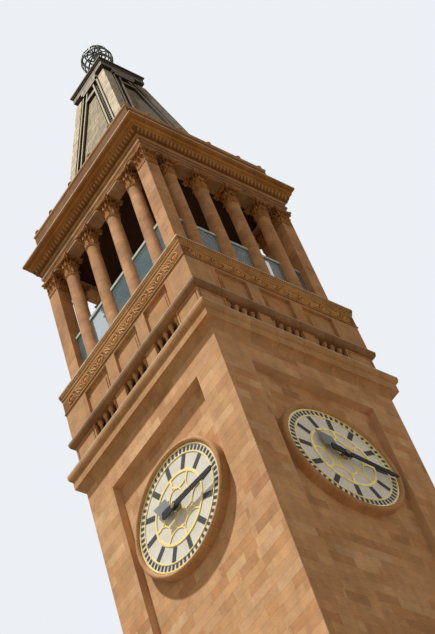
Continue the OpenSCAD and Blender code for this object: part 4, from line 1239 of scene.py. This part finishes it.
class TOWER_OT_finishes(bpy.types.Operator):
    """Gives every piece of the frame its finish"""
    bl_idname = "tower.finishes"
    bl_label = "Finishes"

    def execute(self, context):
        for name, nodes in NODE_FINISHES.items():
            for node in nodes:
                clothe(node, name)
        for side in SIDES:
            for hand in ("minute", "hour"):
                clothe(f"{hand}_hand_{side}", f"{hand}_paint")
        return {"FINISHED"}


class TOWER_OT_stage(bpy.types.Operator):
    """Sets the floor, the backdrop, the lamps and the camera"""
    bl_idname = "tower.stage"
    bl_label = "Stage"

    def execute(self, context):
        settings = context.scene.tower_stage
        self.floor(context)
        self.world(context, settings.fill_light)
        self.lamp(context, settings.key_light)
        self.camera(context, settings)
        return {"FINISHED"}

    def floor(self, context):
        reach = 300.0
        corners = [(-reach, -reach, 0), (reach, -reach, 0), (reach, reach, 0), (-reach, reach, 0)]
        floor = bpy.data.objects.new("floor", mesh_of("floor", corners, [(0, 1, 2, 3)]))
        context.scene.collection.objects.link(floor)
        made = Finish("pale_floor")
        pale = made.ramp(made.noise(made.place, 2.0), [(0.3, (186, 185, 182)), (0.7, (188, 187, 184))])
        made.dress({"Base Color": made.mix(made.seen(), (128, 117, 104), pale), "Roughness": 0.9})
        floor.data.materials.append(made.material)

    def world(self, context, strength):
        world = bpy.data.worlds.new("soft_room")
        world.use_nodes = True
        context.scene.world = world
        tree = Tree(world.node_tree)
        back = world.node_tree.nodes["Background"].inputs
        seen = tree.seen()
        tree.put(back["Strength"], tree.remap(seen, 0.0, 1.0, strength, 1.0))
        tree.put(back["Color"], tree.mix(seen, (1.0, 0.92, 0.85, 1.0), (236, 240, 245)))

    def lamp(self, context, strength):
        toward = Vector((-0.13, -1.0, 2.5))
        data = bpy.data.lights.new("key_lamp", "SUN")
        data.energy = strength
        data.angle = math.radians(2.5)
        lamp = bpy.data.objects.new("key_lamp", data)
        lamp.rotation_mode = "QUATERNION"
        lamp.rotation_quaternion = toward.to_track_quat("Z", "Y")
        context.scene.collection.objects.link(lamp)

    def camera(self, context, settings):
        flat = Vector((-math.sin(settings.heading), math.cos(settings.heading), 0))
        forward = flat * math.cos(settings.pitch) + UP * math.sin(settings.pitch)
        level = forward.cross(UP).normalized()
        above = level.cross(forward)
        right = level * math.cos(settings.roll) - above * math.sin(settings.roll)
        turn = Matrix((right, right.cross(forward), -forward)).transposed().to_4x4()
        data = bpy.data.cameras.new("camera")
        data.lens = settings.lens
        data.sensor_width = 36.0
        data.clip_start = 0.05
        data.clip_end = 200.0
        camera = bpy.data.objects.new("camera", data)
        camera.matrix_world = Matrix.Translation(settings.place) @ turn
        context.scene.collection.objects.link(camera)
        context.scene.camera = camera
        context.scene.view_settings.view_transform = "Standard"


class TOWER_PT_panel(bpy.types.Panel):
    """Shows the tower's settings and the buttons of its steps"""
    bl_idname = "TOWER_PT_panel"
    bl_label = "Clock tower"
    bl_space_type = "VIEW_3D"
    bl_region_type = "UI"
    bl_category = "Tower"

    def draw(self, context):
        for group in SETTINGS:
            settings = getattr(context.scene, group)
            for name in settings.__annotations__:
                self.layout.prop(settings, name)
        for operator in OPERATORS:
            self.layout.operator(operator.bl_idname)


SETTINGS = {"tower_masonry": TowerMasonry, "tower_carving": TowerCarving, "tower_stage": TowerStage}
OPERATORS = (TOWER_OT_stage, TOWER_OT_finishes, TOWER_OT_masonry, TOWER_OT_cornice_carving,
             TOWER_OT_scroll_band, TOWER_OT_capitals)
CLASSES = (*SETTINGS.values(), *OPERATORS, TOWER_PT_panel)


def register():
    for cls in CLASSES:
        bpy.utils.register_class(cls)
    for name, group in SETTINGS.items():
        setattr(bpy.types.Scene, name, bpy.props.PointerProperty(type=group))


def unregister():
    for name in SETTINGS:
        delattr(bpy.types.Scene, name)
    for cls in reversed(CLASSES):
        bpy.utils.unregister_class(cls)


def main():
    register()
    bpy.ops.tower.stage()
    bpy.ops.tower.finishes()
    bpy.ops.tower.masonry()
    bpy.ops.tower.cornice_carving()
    bpy.ops.tower.scroll_band()
    bpy.ops.tower.capitals()


if __name__ == "__main__":
    main()
